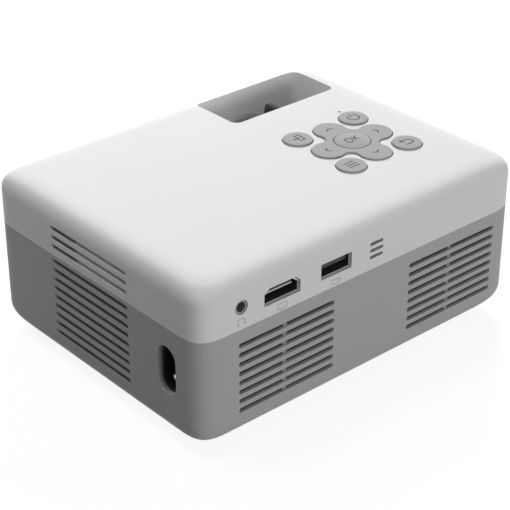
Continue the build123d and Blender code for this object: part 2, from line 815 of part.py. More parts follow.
def make_engine_housing():
    """The open-topped box that holds the optical plates, with ears, bosses and grooves."""
    inner_x0 = engine_x0 + engine_wall
    inner_x1 = engine_x1 - engine_wall
    inner_floor = engine_floor + engine_wall
    room = block(
        inner_x0, inner_x1, engine_front_y + engine_wall, engine_y1 - engine_wall, inner_floor, engine_top + 1
    )
    housing = block(engine_x0, engine_x1, engine_front_y, engine_y1, engine_floor, engine_top)
    solids = []
    for x, y in ear_places:
        inner_edge = engine_x0 + 1 if x < lens_x else engine_x1 - 1
        solids.append(rod_z(engine_floor, engine_floor + ear_thickness, x, y, ear_radius))
        solids.append(
            block(
                min(x, inner_edge), max(x, inner_edge), y - ear_radius, y + ear_radius,
                engine_floor, engine_floor + ear_thickness,
            )
        )
    for x, z in sink_screw_places():
        solids.append(rod_y(engine_y1 - 1, engine_y1 + sink_stand, x, z, post_radius))
    housing += solids
    cutters = [
        room,
        rod_y(engine_front_y - 1, engine_front_y + engine_wall + 1, lens_x, lens_z, barrel_radius - 0.5),
        rod_y(engine_y1 - engine_wall - 1, engine_y1 + 1, lens_x, lens_z, condenser_radius + 0.1),
    ]
    for y, thickness in plate_places.values():
        half = thickness / 2 + plate_fit
        cutters.append(
            block(
                inner_x0 - groove_depth, inner_x1 + groove_depth, y - half, y + half,
                inner_floor - groove_depth, engine_top + 1,
            )
        )
    for x, y in ear_places:
        cutters.append(rod_z(engine_floor - 1, engine_floor + ear_thickness + 1, x, y, case_screw_radius + 0.2))
    for x, z in mount_screw_places():
        cutters.append(
            rod_y(engine_front_y - 1, engine_front_y + engine_wall + 1, x, z, board_screw_radius + screw_fit)
        )
    for x, z in sink_screw_places():
        cutters.append(
            rod_y(engine_y1 - engine_wall + 0.5, engine_y1 + sink_stand + 1, x, z, board_screw_radius + screw_fit)
        )
    for x, y in cover_screw_places():
        cutters.append(rod_z(engine_top - 6, engine_top + 1, x, y, cover_screw_radius + 0.05))
    return housing - cutters


def cover_screw_places():
    """The four screws of the light engine's cover, in the tops of its side walls."""
    return [
        (x, y)
        for x in (engine_x0 + engine_wall / 2, engine_x1 - engine_wall / 2)
        for y in (engine_front_y + 4, engine_y1 - 2.8)
    ]


def sink_screw_places():
    """The four screws that pull the heat sink on to its bosses."""
    return [
        (lens_x + sx * sink_screw_x, lens_z + sz * sink_screw_z) for sx in (-1, 1) for sz in (-1, 1)
    ]


def make_engine_cover():
    """The lid of the light engine."""
    cover = block(
        engine_x0, engine_x1, engine_front_y, engine_y1, engine_top, engine_top + cover_thickness
    )
    cover = fillet(cover.edges().filter_by(Axis.Z), 1.5)
    for x, y in cover_screw_places():
        cover -= rod_z(engine_top - 1, engine_top + cover_thickness + 1, x, y, cover_screw_radius + 0.2)
    return cover


def make_plate(name):
    """One optical plate, standing in its grooves."""
    y, thickness = plate_places[name]
    reach = engine_width / 2 - engine_wall + groove_depth - 0.15
    low = engine_floor + engine_wall - groove_depth
    plate = block(lens_x - reach, lens_x + reach, y - thickness / 2, y + thickness / 2, low, engine_top - 0.2)
    if name == "lcd_panel":
        window = block(lens_x - 20, lens_x + 20, y - 2, y - 0.5, lens_z - 14, lens_z + 14)
        plate -= window
    return plate


def make_light_cone():
    """The square reflector that spreads the lamp's light over the panel."""
    wide_x = engine_width / 2 - engine_wall - 0.3
    wide_z = engine_drop - engine_wall - 0.3
    tall_z = min(wide_z, engine_rise - 0.3)
    narrow = condenser_radius - 0.8

    def frustum(shrink, lengthen):
        wide = Plane(origin=(lens_x, cone_y0 - lengthen, lens_z), x_dir=(1, 0, 0), z_dir=(0, 1, 0))
        small = Plane(origin=(lens_x, cone_y1 + lengthen, lens_z), x_dir=(1, 0, 0), z_dir=(0, 1, 0))
        return loft(
            [
                wide * Rectangle(2 * (wide_x - shrink), 2 * (tall_z - shrink)),
                small * Rectangle(2 * (narrow - shrink), 2 * (narrow - shrink)),
            ]
        )

    return frustum(0, 0) - frustum(1.0, 0.01)


def make_condenser_lens():
    """The thick lens in the light engine's rear wall, in front of the lamp."""
    return lens_element(engine_y1 - 1.0, condenser_radius, 2.4, 5.0, 0)


def make_led_board():
    """The metal-cored board of the lamp, on the heat sink."""
    y1 = engine_y1 + sink_stand
    half = led_board_side / 2
    return block(lens_x - half, lens_x + half, y1 - led_board_thickness, y1, lens_z - half, lens_z + half)


def make_led_emitter():
    """The lamp's light-giving square."""
    y1 = engine_y1 + sink_stand - led_board_thickness
    half = emitter_side / 2
    emitter = block(lens_x - half, lens_x + half, y1 - emitter_thickness, y1, lens_z - half, lens_z + half)
    return chamfer(emitter.faces().sort_by(Axis.Y)[0].edges(), 0.3)


def make_heat_sink():
    """A finned block behind the lamp, close to the rear slots."""
    y0 = engine_y1 + sink_stand
    y1 = y0 + sink_base
    low = lens_z - engine_rise
    high = lens_z + engine_rise
    sink = block(lens_x - sink_width / 2, lens_x + sink_width / 2, y0, y1, low, high)
    fins = []
    for index in range(fin_count):
        x = lens_x + (index - (fin_count - 1) / 2) * fin_pitch
        fins.append(block(x - fin_thickness / 2, x + fin_thickness / 2, y1 - 0.5, y1 + fin_depth, low, high))
    sink += fins
    return sink - [rod_y(y0 - 1, y1 + 1, x, z, board_screw_radius + 0.2) for x, z in sink_screw_places()]


def screw_along_y(x, z, head_y, tip_y, radius, head_radius):
    """A screw along Y, made from an upright one."""
    upright = pan_screw(0, 0, head_y, tip_y, radius, head_radius)
    return Pos(x, 0, z) * Rot(-90, 0, 0) * upright


def make_engine_screws():
    """The fixings of the light engine: ears, lens flange, cover and heat sink."""
    screws = []
    for x, y in ear_places:
        screws.append(pan_screw(x, y, engine_floor + ear_thickness, engine_floor - 5, case_screw_radius, 2.4))
    for x, z in mount_screw_places():
        screws.append(screw_along_y(x, z, engine_front_y - 2, engine_front_y + 1.5, 1.0, 1.9))
    for x, y in cover_screw_places():
        screws.append(pan_screw(x, y, engine_top + cover_thickness, engine_top - 5, cover_screw_radius, 1.3))
    for x, z in sink_screw_places():
        screws.append(screw_along_y(x, z, engine_y1 + sink_stand + sink_base, engine_y1, 1.0, 1.9))
    return group(screws)


# Fan

def make_fan_frame():
    """The square fan frame with its spokes and bearing tube."""
    half = fan_side / 2
    frame = block(fan_x0, fan_x1, side_slots_y - half, side_slots_y + half, fan_z - half, fan_z + half)
    frame = fillet(frame.edges().filter_by(Axis.X), 3)
    frame -= rod_x(fan_x0 - 1, fan_x1 + 1, side_slots_y, fan_z, fan_bore)
    spoke_x1 = fan_x0 + 1.4
    for turn in (45, 135):
        spoke = Pos((fan_x0 + spoke_x1) / 2, side_slots_y, fan_z) * Rot(turn, 0, 0)
        frame += spoke * Box(1.4, fan_bore * 2 + 1, 2.4)
    frame += rod_x(fan_x0, spoke_x1, side_slots_y, fan_z, fan_hub_radius)
    frame += rod_x(fan_x0, fan_x0 + 6.5, side_slots_y, fan_z, 3.0)
    frame -= rod_x(fan_x0 + 0.6, fan_x0 + 8, side_slots_y, fan_z, shaft_radius + running_gap)
    holes = [
        rod_x(fan_x0 - 1, fan_x1 + 1, side_slots_y + sy * (half - 4), fan_z + sz * (half - 4), 1.7)
        for sy in (-1, 1)
        for sz in (-1, 1)
    ]
    return frame - holes


def make_fan_rotor():
    """The fan's cup, shaft and pitched blades."""
    cup_x0 = fan_x0 + 1.8
    cup_x1 = fan_x1 - 0.6
    cup = rod_x(cup_x0, cup_x1, side_slots_y, fan_z, fan_hub_radius)
    cup -= rod_x(cup_x0 - 1, cup_x1 - 1.2, side_slots_y, fan_z, fan_hub_radius - 1.0)
    rotor = cup + rod_x(fan_x0 + 0.9, cup_x1 - 0.5, side_slots_y, fan_z, shaft_radius)
    sweep_ring = rod_x(cup_x0, cup_x1, side_slots_y, fan_z, fan_blade_radius)
    sweep_ring -= rod_x(cup_x0 - 1, cup_x1 + 1, side_slots_y, fan_z, fan_hub_radius - 0.6)
    blade_length = fan_blade_radius - fan_hub_radius + 4
    blade_middle = fan_hub_radius - 0.8 + blade_length / 2
    blades = []
    for index in range(fan_blades):
        turn = 360 / fan_blades * index
        place = Pos((cup_x0 + cup_x1) / 2, side_slots_y, fan_z) * Rot(turn, 0, 0) * Pos(0, 0, blade_middle)
        blades.append(place * Rot(0, 0, blade_pitch) * Box(12, blade_thickness, blade_length) & sweep_ring)
    return rotor + blades


# Keypad

def make_round_key(name):
    """One round key: a cap above the case, a flange cut back beside the pad, and a stem over its switch."""
    x, y = round_keys[name]
    cap = rod_z(key_under, top_z + key_stand, x, y, key_radius)
    cap = fillet(cap.edges().filter_by(GeomType.CIRCLE).group_by(Axis.Z)[-1], 0.35)
    flange = rod_z(key_under, key_under + key_flange_thickness, x, y, key_radius + key_flange)
    pad_room = extrude(pad_outline(pad_flange + key_gap), amount=key_flange_thickness + 2)
    flange -= Pos(keypad_x, keypad_y, key_under - 1) * pad_room
    return cap + flange + rod_z(stem_end, key_under + 0.5, x, y, plunger_radius)


def make_ok_key():
    """The middle key, slightly domed, with a flange under the pad."""
    sphere_radius = (ok_radius ** 2 + ok_dome ** 2) / (2 * ok_dome)
    cap = rod_z(stem_end, top_z + ok_stand, keypad_x, keypad_y, ok_radius)
    dome = Pos(keypad_x, keypad_y, top_z + ok_stand - sphere_radius) * Sphere(sphere_radius)
    flange = rod_z(stem_end, stem_end + ok_flange_thickness, keypad_x, keypad_y, ok_radius + ok_flange)
    return (cap & dome) + flange


def make_nav_pad():
    """The four-petal rocking pad round the middle key, with two ears that hang on the gimbal's Y pins."""
    body = extrude(pad_outline(0), amount=top_z + pad_stand - pad_under)
    pad = fillet(body.edges().group_by(Axis.Z)[-1], 0.3)
    pad += extrude(pad_outline(pad_flange), amount=key_flange_thickness)
    pad = Pos(keypad_x, keypad_y, pad_under) * pad
    pad -= rod_z(pad_under - 1, top_z + 3, keypad_x, keypad_y, pad_hole_radius)
    stems = [rod_z(stem_end, pad_under + 0.3, x, y, petal_stem_radius) for x, y in petal_switches]
    return pad + stems + pivot_ears(90, gimbal_z - 1.0, pad_under + 0.3)


def pivot_ears(turn, z0, z1):
    """Two opposite ears, each with a bore on a pin of the gimbal, turned about the keypad's middle."""
    ears = []
    for half_turn in (0, 180):
        ear = block(pivot_ear_start, pivot_ear_start + pivot_ear, -pivot_ear_half, pivot_ear_half, z0, z1)
        ear -= rod_x(pivot_ear_start - 1, pivot_ear_start + pivot_ear + 1, 0, gimbal_z, pivot_radius + running_gap)
        ears.append(Pos(keypad_x, keypad_y, 0) * Rot(0, 0, turn + half_turn) * ear)
    return ears


def make_nav_gimbal():
    """The small ring that the pad rocks on: its X pins lie in the board's ears, its Y pins in the pad's."""
    half = gimbal_section / 2
    ring = rod_z(gimbal_z - half, gimbal_z + half, keypad_x, keypad_y, gimbal_radius + half)
    ring -= rod_z(gimbal_z - 1, gimbal_z + 1, keypad_x, keypad_y, gimbal_radius - half)
    pins = []
    for turn in (0, 90, 180, 270):
        pin = rod_x(gimbal_radius, pivot_ear_start + pivot_ear + 0.1, 0, gimbal_z, pivot_radius)
        pins.append(Pos(keypad_x, keypad_y, 0) * Rot(0, 0, turn) * pin)
    return ring + pins


def make_keypad_board():
    """The small board under the keys, with the two ears that carry the gimbal."""
    half = keypad_board_side / 2
    z0 = keypad_board_top - keypad_board_thickness
    board = block(keypad_x - half, keypad_x + half, keypad_y - half - 2.5, keypad_y + half, z0, keypad_board_top)
    board = fillet(board.edges().filter_by(Axis.Z), 2)
    holes = [
        rod_z(z0 - 1, keypad_board_top + 1, x, y, keypad_screw_radius + screw_clearance) for x, y in keypad_screws
    ]
    return board + pivot_ears(0, keypad_board_top - 0.3, gimbal_z + 1.0) - holes


def make_tact_switches():
    """Nine low push switches, one under each key and petal."""
    places = [(x, y, switch_side / 2) for x, y in list(round_keys.values()) + [(keypad_x, keypad_y)]]
    places += [(x, y, small_switch_side / 2) for x, y in petal_switches]
    body_top = keypad_board_top + switch_height
    switches = []
    for x, y, half in places:
        switch = block(x - half, x + half, y - half, y + half, keypad_board_top, body_top)
        switches.append(switch + rod_z(body_top - 0.2, switch_top, x, y, half / 2))
    return group(switches)


def make_light_pipe():
    """The clear pin that carries the status light to the top."""
    pipe = rod_z(keypad_board_top + 0.8, top_z, light_x, light_y, light_radius)
    return pipe + rod_z(keypad_board_top + 0.8, ceiling_z - 0.1, light_x, light_y, light_radius + 0.7)


# Main board and sockets

def make_main_board():
    """The main board, hung under the upper shell with its sockets below it."""
    board = block(board_x0, board_x1, board_y0, board_y1, board_z, board_top)
    board = fillet(board.edges().filter_by(Axis.Z), 2)
    return board - [rod_z(board_z - 1, board_top + 1, x, y, board_screw_radius + 0.2) for x, y in board_screws]


def make_board_screws():
    """The screws of the two upper boards, driven from below, and of the mains board, driven from above."""
    keypad_z = keypad_board_top - keypad_board_thickness
    power_z = power_board_z + board_thickness
    head = board_screw_radius * 2
    screws = [pan_screw(x, y, keypad_z, ceiling_z - 0.6, keypad_screw_radius, 1.6) for x, y in keypad_screws]
    screws += [pan_screw(x, y, board_z, ceiling_z - 0.6, board_screw_radius, head) for x, y in board_screws]
    screws += [pan_screw(x, y, power_z, floor_z + 0.6, board_screw_radius, head) for x, y in power_screws]
    return group(screws)


socket_y1 = rear_y - socket_recess
video_depth = 11.5
data_depth = 14.0


def make_video_shell():
    """The video socket's folded metal shell."""
    shell = video_profile(0, socket_y1, video_depth)
    return shell - video_profile(-sheet, socket_y1 + 1, video_depth)


def make_video_tongue():
    """The black block at the back of the video socket, with the tongue that carries its contacts."""
    core_y0 = socket_y1 - video_depth + 1
    middle_z = board_z - video_height / 2 - socket_gap
    core = video_profile(-sheet - 0.05, core_y0 + 2, 2)
    tongue_z = middle_z + 0.5
    tongue = block(video_x - 5.6, video_x + 5.6, core_y0 + 1, socket_y1 - 1.4, tongue_z - 0.6, tongue_z + 0.6)
    return core + tongue


def make_data_shell():
    """The flat socket's folded metal shell."""
    shell = data_profile(0, socket_y1, data_depth)
    return shell - data_profile(-sheet, socket_y1 + 1, data_depth)


def make_data_tongue():
    """The flat socket's inner block and tongue."""
    core_y0 = socket_y1 - data_depth + 1
    middle_z = board_z - data_height / 2 - socket_gap
    core = data_profile(-sheet - 0.05, core_y0 + 2, 2)
    tongue = block(data_x - 5.5, data_x + 5.5, core_y0 + 1, socket_y1 - 0.8, middle_z + 0.2, middle_z + 1.9)
    return core + tongue


def make_audio_jack():
    """The headphone socket, with its collar in the case wall."""
    jack_z = base_z + jack_height
    body = block(jack_x - 3.1, jack_x + 3.1, inner_y - 13.5, inner_y - 0.2, jack_z - 3.0, board_z - 0.02)
    collar = rod_y(inner_y - 0.5, rear_y - 0.3, jack_x, jack_z, jack_collar_radius)
    return body + collar - rod_y(inner_y - 12, rear_y + 1, jack_x, jack_z, jack_bore_radius)


def make_ray_receiver():
    """The remote control's receiver behind the three short slots."""
    z_middle = board_z - ray_slot_drop - ray_slot_pitch
    y1 = inner_y - 1.2
    body = block(ray_slot_x - 2.8, ray_slot_x + 2.8, y1 - 3, y1, z_middle - 3, board_z)
    dome = Pos(ray_slot_x, y1, z_middle) * Sphere(1.9)
    return body + (dome & block(ray_slot_x - 3, ray_slot_x + 3, y1 - 2, inner_y - 0.3, z_middle - 3, board_z))


def make_processor():
    """The picture processor under the main board, with its finned cooler."""
    x = board_x1 - 34.0
    y = board_y0 + 16.0
    chip = block(x - 8, x + 8, y - 8, y + 8, board_z - 1.4, board_z)
    cooler = block(x - 9, x + 9, y - 9, y + 9, board_z - 2.6, board_z - 1.4)
    for index in range(6):
        fin_x = x - 8.9 + index * 3.36
        cooler += block(fin_x, fin_x + 1.0, y - 9, y + 9, board_z - 6.4, board_z - 2.0)
    return group([chip, cooler])


def make_board_capacitors():
    """Three small capacitor cans under the main board."""
    places = [
        (board_x1 - 16.0, board_y0 + 10.0, 3.15, 7.7),
        (board_x1 - 16.0, board_y0 + 19.0, 2.5, 7.0),
        (board_x1 - 52.0, board_y0 + 16.0, 3.15, 7.7),
    ]
    cans = []
    for x, y, radius, height in places:
        can = rod_z(board_z - height, board_z, x, y, radius)
        cans.append(fillet(can.edges().filter_by(GeomType.CIRCLE).group_by(Axis.Z)[0], 0.4))
    return group(cans)


# Mains side

def make_mains_inlet():
    """The black inlet body behind its obround opening."""
    face_x = inner_x - seam
    body = inlet_outline(inlet_opening_height + 2 * inlet_flange, inlet_opening_width + 2 * inlet_flange, face_x, 2.0)
    body += inlet_outline(inlet_opening_height - 0.4, inlet_opening_width - 0.4, face_x, inlet_body_depth)
    body -= inlet_outline(inlet_cavity_height, inlet_cavity_width, face_x + 1, inlet_cavity_depth + 1)
    for side in (-1, 1):
        z = base_z + inlet_height + side * pin_pitch / 2
        body -= rod_x(face_x - inlet_body_depth - 1, face_x, inlet_y, z, pin_root_radius + 0.02)
    return body


def make_inlet_pins():
    """The inlet's two round pins, each with a thinner root through the body and a solder tail."""
    pins = []
    tip_x = side_x - pin_recess
    shoulder_x = inner_x - seam - inlet_cavity_depth
    back_x = inner_x - seam - inlet_body_depth
    for side in (-1, 1):
        z = base_z + inlet_height + side * pin_pitch / 2
        pin = rod_x(shoulder_x, tip_x, inlet_y, z, pin_radius)
        pin = fillet(pin.edges().filter_by(GeomType.CIRCLE).group_by(Axis.X)[-1], pin_radius * 0.6)
        pin += rod_x(back_x - 0.5, shoulder_x + 0.5, inlet_y, z, pin_root_radius)
        pins.append(pin + block(back_x - inlet_tail, back_x, inlet_y - 0.9, inlet_y + 0.9, z - 0.4, z + 0.4))
    return group(pins)


def make_power_board():
    """The mains board on its four posts."""
    board = block(
        power_board_x0, power_board_x1, power_board_y0, power_board_y1,
        power_board_z, power_board_z + board_thickness,
    )
    board = fillet(board.edges().filter_by(Axis.Z), 2)
    holes = [
        rod_z(power_board_z - 1, power_board_z + board_thickness + 1, x, y, board_screw_radius + 0.2)
        for x, y in power_screws
    ]
    return board - holes


def make_transformer():
    """The transformer: a ferrite frame round a taped winding."""
    x = power_board_x0 + 23.0
    y = power_board_y1 - 35.0
    z0 = power_board_z + board_thickness
    core = block(x - 10, x + 10, y - 7, y + 7, z0 + 1.5, z0 + 15.5)
    core -= block(x - 6, x + 6, y - 8, y + 8, z0 + 4.5, z0 + 12.5)
    winding = block(x - 5.95, x + 5.95, y - 9, y + 9, z0 + 4.55, z0 + 12.45)
    winding = fillet(winding.edges().filter_by(Axis.X), 2)
    base = block(x - 8, x + 8, y - 11, y + 11, z0, z0 + 1.45)
    return group([core, winding, base])


def make_mains_capacitors():
    """The smoothing capacitors: three spread along the mains board and one beside the transformer."""
    row = [(6.5, 20.0), (5.0, 16.0), (4.0, 12.0)]
    widths = sum(2 * radius for radius, height in row)
    gap = (power_board_x1 - power_board_x0 - widths) / (len(row) + 1)
    places = [(power_board_x0 + 7.0, power_board_y1 - 30.0, 4.0, 12.0)]
    edge = power_board_x0
    for radius, height in row:
        places.append((edge + gap + radius, power_board_y0 + 14.0, radius, height))
        edge += gap + 2 * radius
    z0 = power_board_z + board_thickness
    cans = []
    for x, y, radius, height in places:
        can = rod_z(z0, z0 + height, x, y, radius)
        cans.append(fillet(can.edges().filter_by(GeomType.CIRCLE).group_by(Axis.Z)[-1], 0.6))
    return group(cans)


def make_speaker_basket():
    """The speaker's steel basket and magnet."""
    rim_y1 = inner_y - slot_rib_depth - 0.2
    z = base_z + speaker_height
    basket = rod_y(rim_y1 - 1.8, rim_y1, rear_slots_a_x, z, speaker_radius)
    basket += rod_y(rim_y1 - 4.5, rim_y1 - 1, rear_slots_a_x, z, speaker_radius - 1.6)
    basket += rod_y(rim_y1 - speaker_depth, rim_y1 - 4, rear_slots_a_x, z, speaker_radius * 0.55)
    return basket - rod_y(rim_y1 - 3.5, rim_y1 + 1, rear_slots_a_x, z, speaker_radius - 2.4)


def make_speaker_cone():
    """The speaker's paper cone with its dust cap."""
    rim_y1 = inner_y - slot_rib_depth - 0.2
    z = base_z + speaker_height
    cone_radius = speaker_radius - 2.5
    outer = Pos(rear_slots_a_x, rim_y1 - 1.9, z) * Rot(-90, 0, 0) * Cone(cone_radius * 0.4, cone_radius, 2.8)
    inner = Pos(rear_slots_a_x, rim_y1 - 1.4, z) * Rot(-90, 0, 0) * Cone(cone_radius * 0.4, cone_radius, 2.8)
    cap = Pos(rear_slots_a_x, rim_y1 - 5.0, z) * Sphere(4.4)
    keep = rod_y(rim_y1 - 3.2, rim_y1, rear_slots_a_x, z, cone_radius * 0.5)
    return (outer - inner) + (cap & keep)


# Leads: straight runs joined by tangent arcs

def arc_radii(points):
    """The bend radius at each inner point of a route."""
    radii = []
    for before, here, after in zip(points, points[1:], points[2:]):
        run_in = Vector(*here) - Vector(*before)
        run_out = Vector(*after) - Vector(*here)
        turn = math.radians(run_in.get_angle(run_out))
        radii.append(0.45 * min(run_in.length, run_out.length) / math.tan(turn / 2))
    return radii


def make_lead(name, points, radius):
    """A round lead along a route, with its volume and bend radii printed."""
    radii = arc_radii(points)
    route = FilletPolyline(*points, radius=radii)
    start = Vector(*points[1]) - Vector(*points[0])
    profile = Plane(origin=points[0], z_dir=start) * Circle(radius)
    lead = sweep(profile, path=route)
    expected = math.pi * radius ** 2 * route.length
    print(name, "radii", [round(r, 1) for r in radii], "volume over expected", round(lead.volume / expected, 4))
    return lead


lead_radius = 0.65
inlet_back_x = inner_x - seam - inlet_body_depth
tail_x = inlet_back_x - inlet_tail
power_board_top = power_board_z + board_thickness
lower_pin_z = base_z + inlet_height - pin_pitch / 2
upper_pin_z = lower_pin_z + pin_pitch
lamp_lead_y = engine_y1 + sink_stand - led_board_thickness / 2
speaker_back_y = inner_y - slot_rib_depth - 0.2 - 4.5
lead_routes = {
    "mains_lead_lower": [
        (tail_x, inlet_y, lower_pin_z),
        (tail_x - 9.2, inlet_y, lower_pin_z),
        (tail_x - 9.2, inlet_y, power_board_top),
    ],
    "mains_lead_upper": [
        (tail_x, inlet_y, upper_pin_z),
        (tail_x - 13.2, inlet_y, upper_pin_z),
        (tail_x - 13.2, inlet_y, power_board_top),
    ],
    "fan_lead": [
        (fan_x0, side_slots_y + 17.5, fan_z + 11.0),
        (fan_x0 - 9.5, side_slots_y + 17.5, fan_z + 11.0),
        (fan_x0 - 9.5, side_slots_y + 17.5, board_z),
    ],
    "lamp_lead": [
        (lens_x + led_board_side / 2, lamp_lead_y, lens_z + 8.5),
        (board_x0 + 8.0, lamp_lead_y, lens_z + 8.5),
        (board_x0 + 8.0, lamp_lead_y, board_z),
    ],
    "speaker_lead": [
        (rear_slots_a_x, speaker_back_y, base_z + speaker_height + 10.0),
        (rear_slots_a_x, speaker_back_y - 11.5, base_z + speaker_height + 10.0),
        (rear_slots_a_x, speaker_back_y - 11.5, board_z),
    ],
}


def make_all():
    """Every sub-part by its node name."""
    parts = {
        "top_shell": make_top_shell(),
        "bottom_shell": make_bottom_shell(),
        "lens_bay": make_lens_bay(),
        "lens_bezel": make_lens_bezel(),
        "rubber_feet": make_rubber_feet(),
        "case_screws": make_case_screws(),
        "tripod_insert": make_tripod_insert(),
        "lens_barrel": make_lens_barrel(),
        "lens_retainer": make_lens_retainer(),
        "front_lens": lens_element(
            barrel_y0 + front_glass_setback, front_glass_radius - 0.02, front_glass_edge, 1.6, 0.8
        ),
        "middle_lens": lens_element(
            barrel_y0 + middle_glass_setback, barrel_radius - barrel_wall - 0.02, 4.0, -1.0, -1.0
        ),
        "rear_lens": lens_element(barrel_y1 - rear_glass_setback, rear_glass_radius - 0.02, 4.0, 0.8, 2.0),
        "focus_ring": make_focus_ring(),
        "lens_mount": make_lens_mount(),
        "engine_housing": make_engine_housing(),
        "engine_cover": make_engine_cover(),
        "light_cone": make_light_cone(),
        "condenser_lens": make_condenser_lens(),
        "led_board": make_led_board(),
        "led_emitter": make_led_emitter(),
        "heat_sink": make_heat_sink(),
        "engine_screws": make_engine_screws(),
        "fan_frame": make_fan_frame(),
        "fan_rotor": make_fan_rotor(),
        "ok_key": make_ok_key(),
        "nav_pad": make_nav_pad(),
        "nav_gimbal": make_nav_gimbal(),
        "keypad_board": make_keypad_board(),
        "tact_switches": make_tact_switches(),
        "status_light_pipe": make_light_pipe(),
        "board_screws": make_board_screws(),
        "main_board": make_main_board(),
        "video_socket_shell": make_video_shell(),
        "video_socket_tongue": make_video_tongue(),
        "data_socket_shell": make_data_shell(),
        "data_socket_tongue": make_data_tongue(),
        "audio_jack": make_audio_jack(),
        "remote_receiver": make_ray_receiver(),
        "processor": make_processor(),
        "board_capacitors": make_board_capacitors(),
        "mains_inlet": make_mains_inlet(),
        "inlet_pins": make_inlet_pins(),
        "power_board": make_power_board(),
        "transformer": make_transformer(),
        "mains_capacitors": make_mains_capacitors(),
        "speaker_basket": make_speaker_basket(),
        "speaker_cone": make_speaker_cone(),
    }
    for name in round_keys:
        parts[name] = make_round_key(name)
    for name in plate_places:
        parts[name] = make_plate(name)
    for name, route in lead_routes.items():
        parts[name] = make_lead(name, route, lead_radius)
    return parts


os.makedirs("parts", exist_ok=True)
for node, shape in make_all().items():
    export_step(shape, f"parts/{node}.step")
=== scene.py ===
"""Looks of the compact video projector: finishes, icons, contacts, seal, floor, light and camera."""

import math

import bmesh
import bpy
from mathutils import Matrix, Vector


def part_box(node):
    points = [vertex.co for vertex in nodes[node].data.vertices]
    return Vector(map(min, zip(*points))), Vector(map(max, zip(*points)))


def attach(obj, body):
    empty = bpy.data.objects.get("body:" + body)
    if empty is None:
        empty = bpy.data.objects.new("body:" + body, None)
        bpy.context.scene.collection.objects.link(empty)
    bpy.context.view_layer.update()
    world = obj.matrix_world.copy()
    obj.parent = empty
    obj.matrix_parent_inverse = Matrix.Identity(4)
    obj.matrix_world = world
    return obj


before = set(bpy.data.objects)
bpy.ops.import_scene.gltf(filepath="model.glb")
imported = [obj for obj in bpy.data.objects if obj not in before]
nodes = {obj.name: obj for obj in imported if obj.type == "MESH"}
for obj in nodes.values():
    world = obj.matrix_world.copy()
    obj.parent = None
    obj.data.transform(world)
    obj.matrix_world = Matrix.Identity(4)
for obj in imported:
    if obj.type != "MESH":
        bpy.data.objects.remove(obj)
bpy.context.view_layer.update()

MM = 0.001


# Places, read from the model

def middle(node):
    """The middle of a node's box."""
    low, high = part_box(node)
    return (low + high) / 2


case_low, case_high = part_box("top_shell")
side_x = case_high.x
rear_y = case_high.y
lens_middle = middle("lens_barrel")


# Shader maths written as Python expressions

class Value:
    """A socket in a graph of nodes; + - * / > < on it add Math nodes."""

    def __init__(self, graph, socket):
        self.graph = graph
        self.socket = socket

    def math(self, operation, *others, flip=False):
        sides = [self, *others]
        if flip:
            sides.reverse()
        return self.graph.node("ShaderNodeMath", {"operation": operation}, dict(enumerate(sides))).out()

    def __add__(self, other):
        return self.math("ADD", other)

    def __sub__(self, other):
        return self.math("SUBTRACT", other)

    def __rsub__(self, other):
        return self.math("SUBTRACT", other, flip=True)

    def __mul__(self, other):
        return self.math("MULTIPLY", other)

    def __truediv__(self, other):
        return self.math("DIVIDE", other)

    def __rtruediv__(self, other):
        return self.math("DIVIDE", other, flip=True)

    def __gt__(self, other):
        return self.math("GREATER_THAN", other)

    def __lt__(self, other):
        return self.math("LESS_THAN", other)

    __radd__ = __add__
    __rmul__ = __mul__

    def within(self, low, high):
        """1 between two values."""
        return (self > low) * (self < high)

    def power(self, exponent):
        return self.math("POWER", exponent)

    def wave(self):
        return self.math("SINE")

    def fraction(self):
        return self.math("FRACT")

    def size(self):
        return self.math("ABSOLUTE")

    def clamped(self):
        return self.graph.node("ShaderNodeClamp", {}, {"Value": self}).out()


class Node:
    """One node of a graph."""

    def __init__(self, graph, node):
        self.graph = graph
        self.node = node

    def out(self, name=0):
        return Value(self.graph, self.node.outputs[name])


class Graph:
    """The nodes of a material or of the world."""

    def __init__(self, tree):
        self.tree = tree

    def node(self, kind, settings=None, inputs=None):
        """Adds a node: settings first, then the values or links of its sockets."""
        node = self.tree.nodes.new(kind)
        for key, value in (settings or {}).items():
            setattr(node, key, value)
        for key, value in (inputs or {}).items():
            self.feed(node.inputs[key], value)
        return Node(self, node)

    def feed(self, socket, value):
        """Links a value to a socket, or sets the socket to a number, a colour or a vector."""
        if isinstance(value, Value):
            self.tree.links.new(value.socket, socket)
        elif isinstance(value, (tuple, list)) and socket.type == "RGBA":
            socket.default_value = (*value, 1.0)[:4]
        else:
            socket.default_value = value

    def mix(self, mask, low, high):
        """A colour between two colours."""
        node = self.node("ShaderNodeMix", {"data_type": "RGBA"})
        sockets = {s.identifier: s for s in node.node.inputs}
        self.feed(sockets["Factor_Float"], mask)
        self.feed(sockets["A_Color"], low)
        self.feed(sockets["B_Color"], high)
        result = [s for s in node.node.outputs if s.identifier == "Result_Color"][0]
        return Value(self, result)

    def seen_directly(self):
        """1 for rays from the camera, from gloss and through glass, and 0 for soft light."""
        path = self.node("ShaderNodeLightPath")
        seen = path.out("Is Camera Ray") + path.out("Is Glossy Ray") + path.out("Is Transmission Ray")
        return seen.clamped()


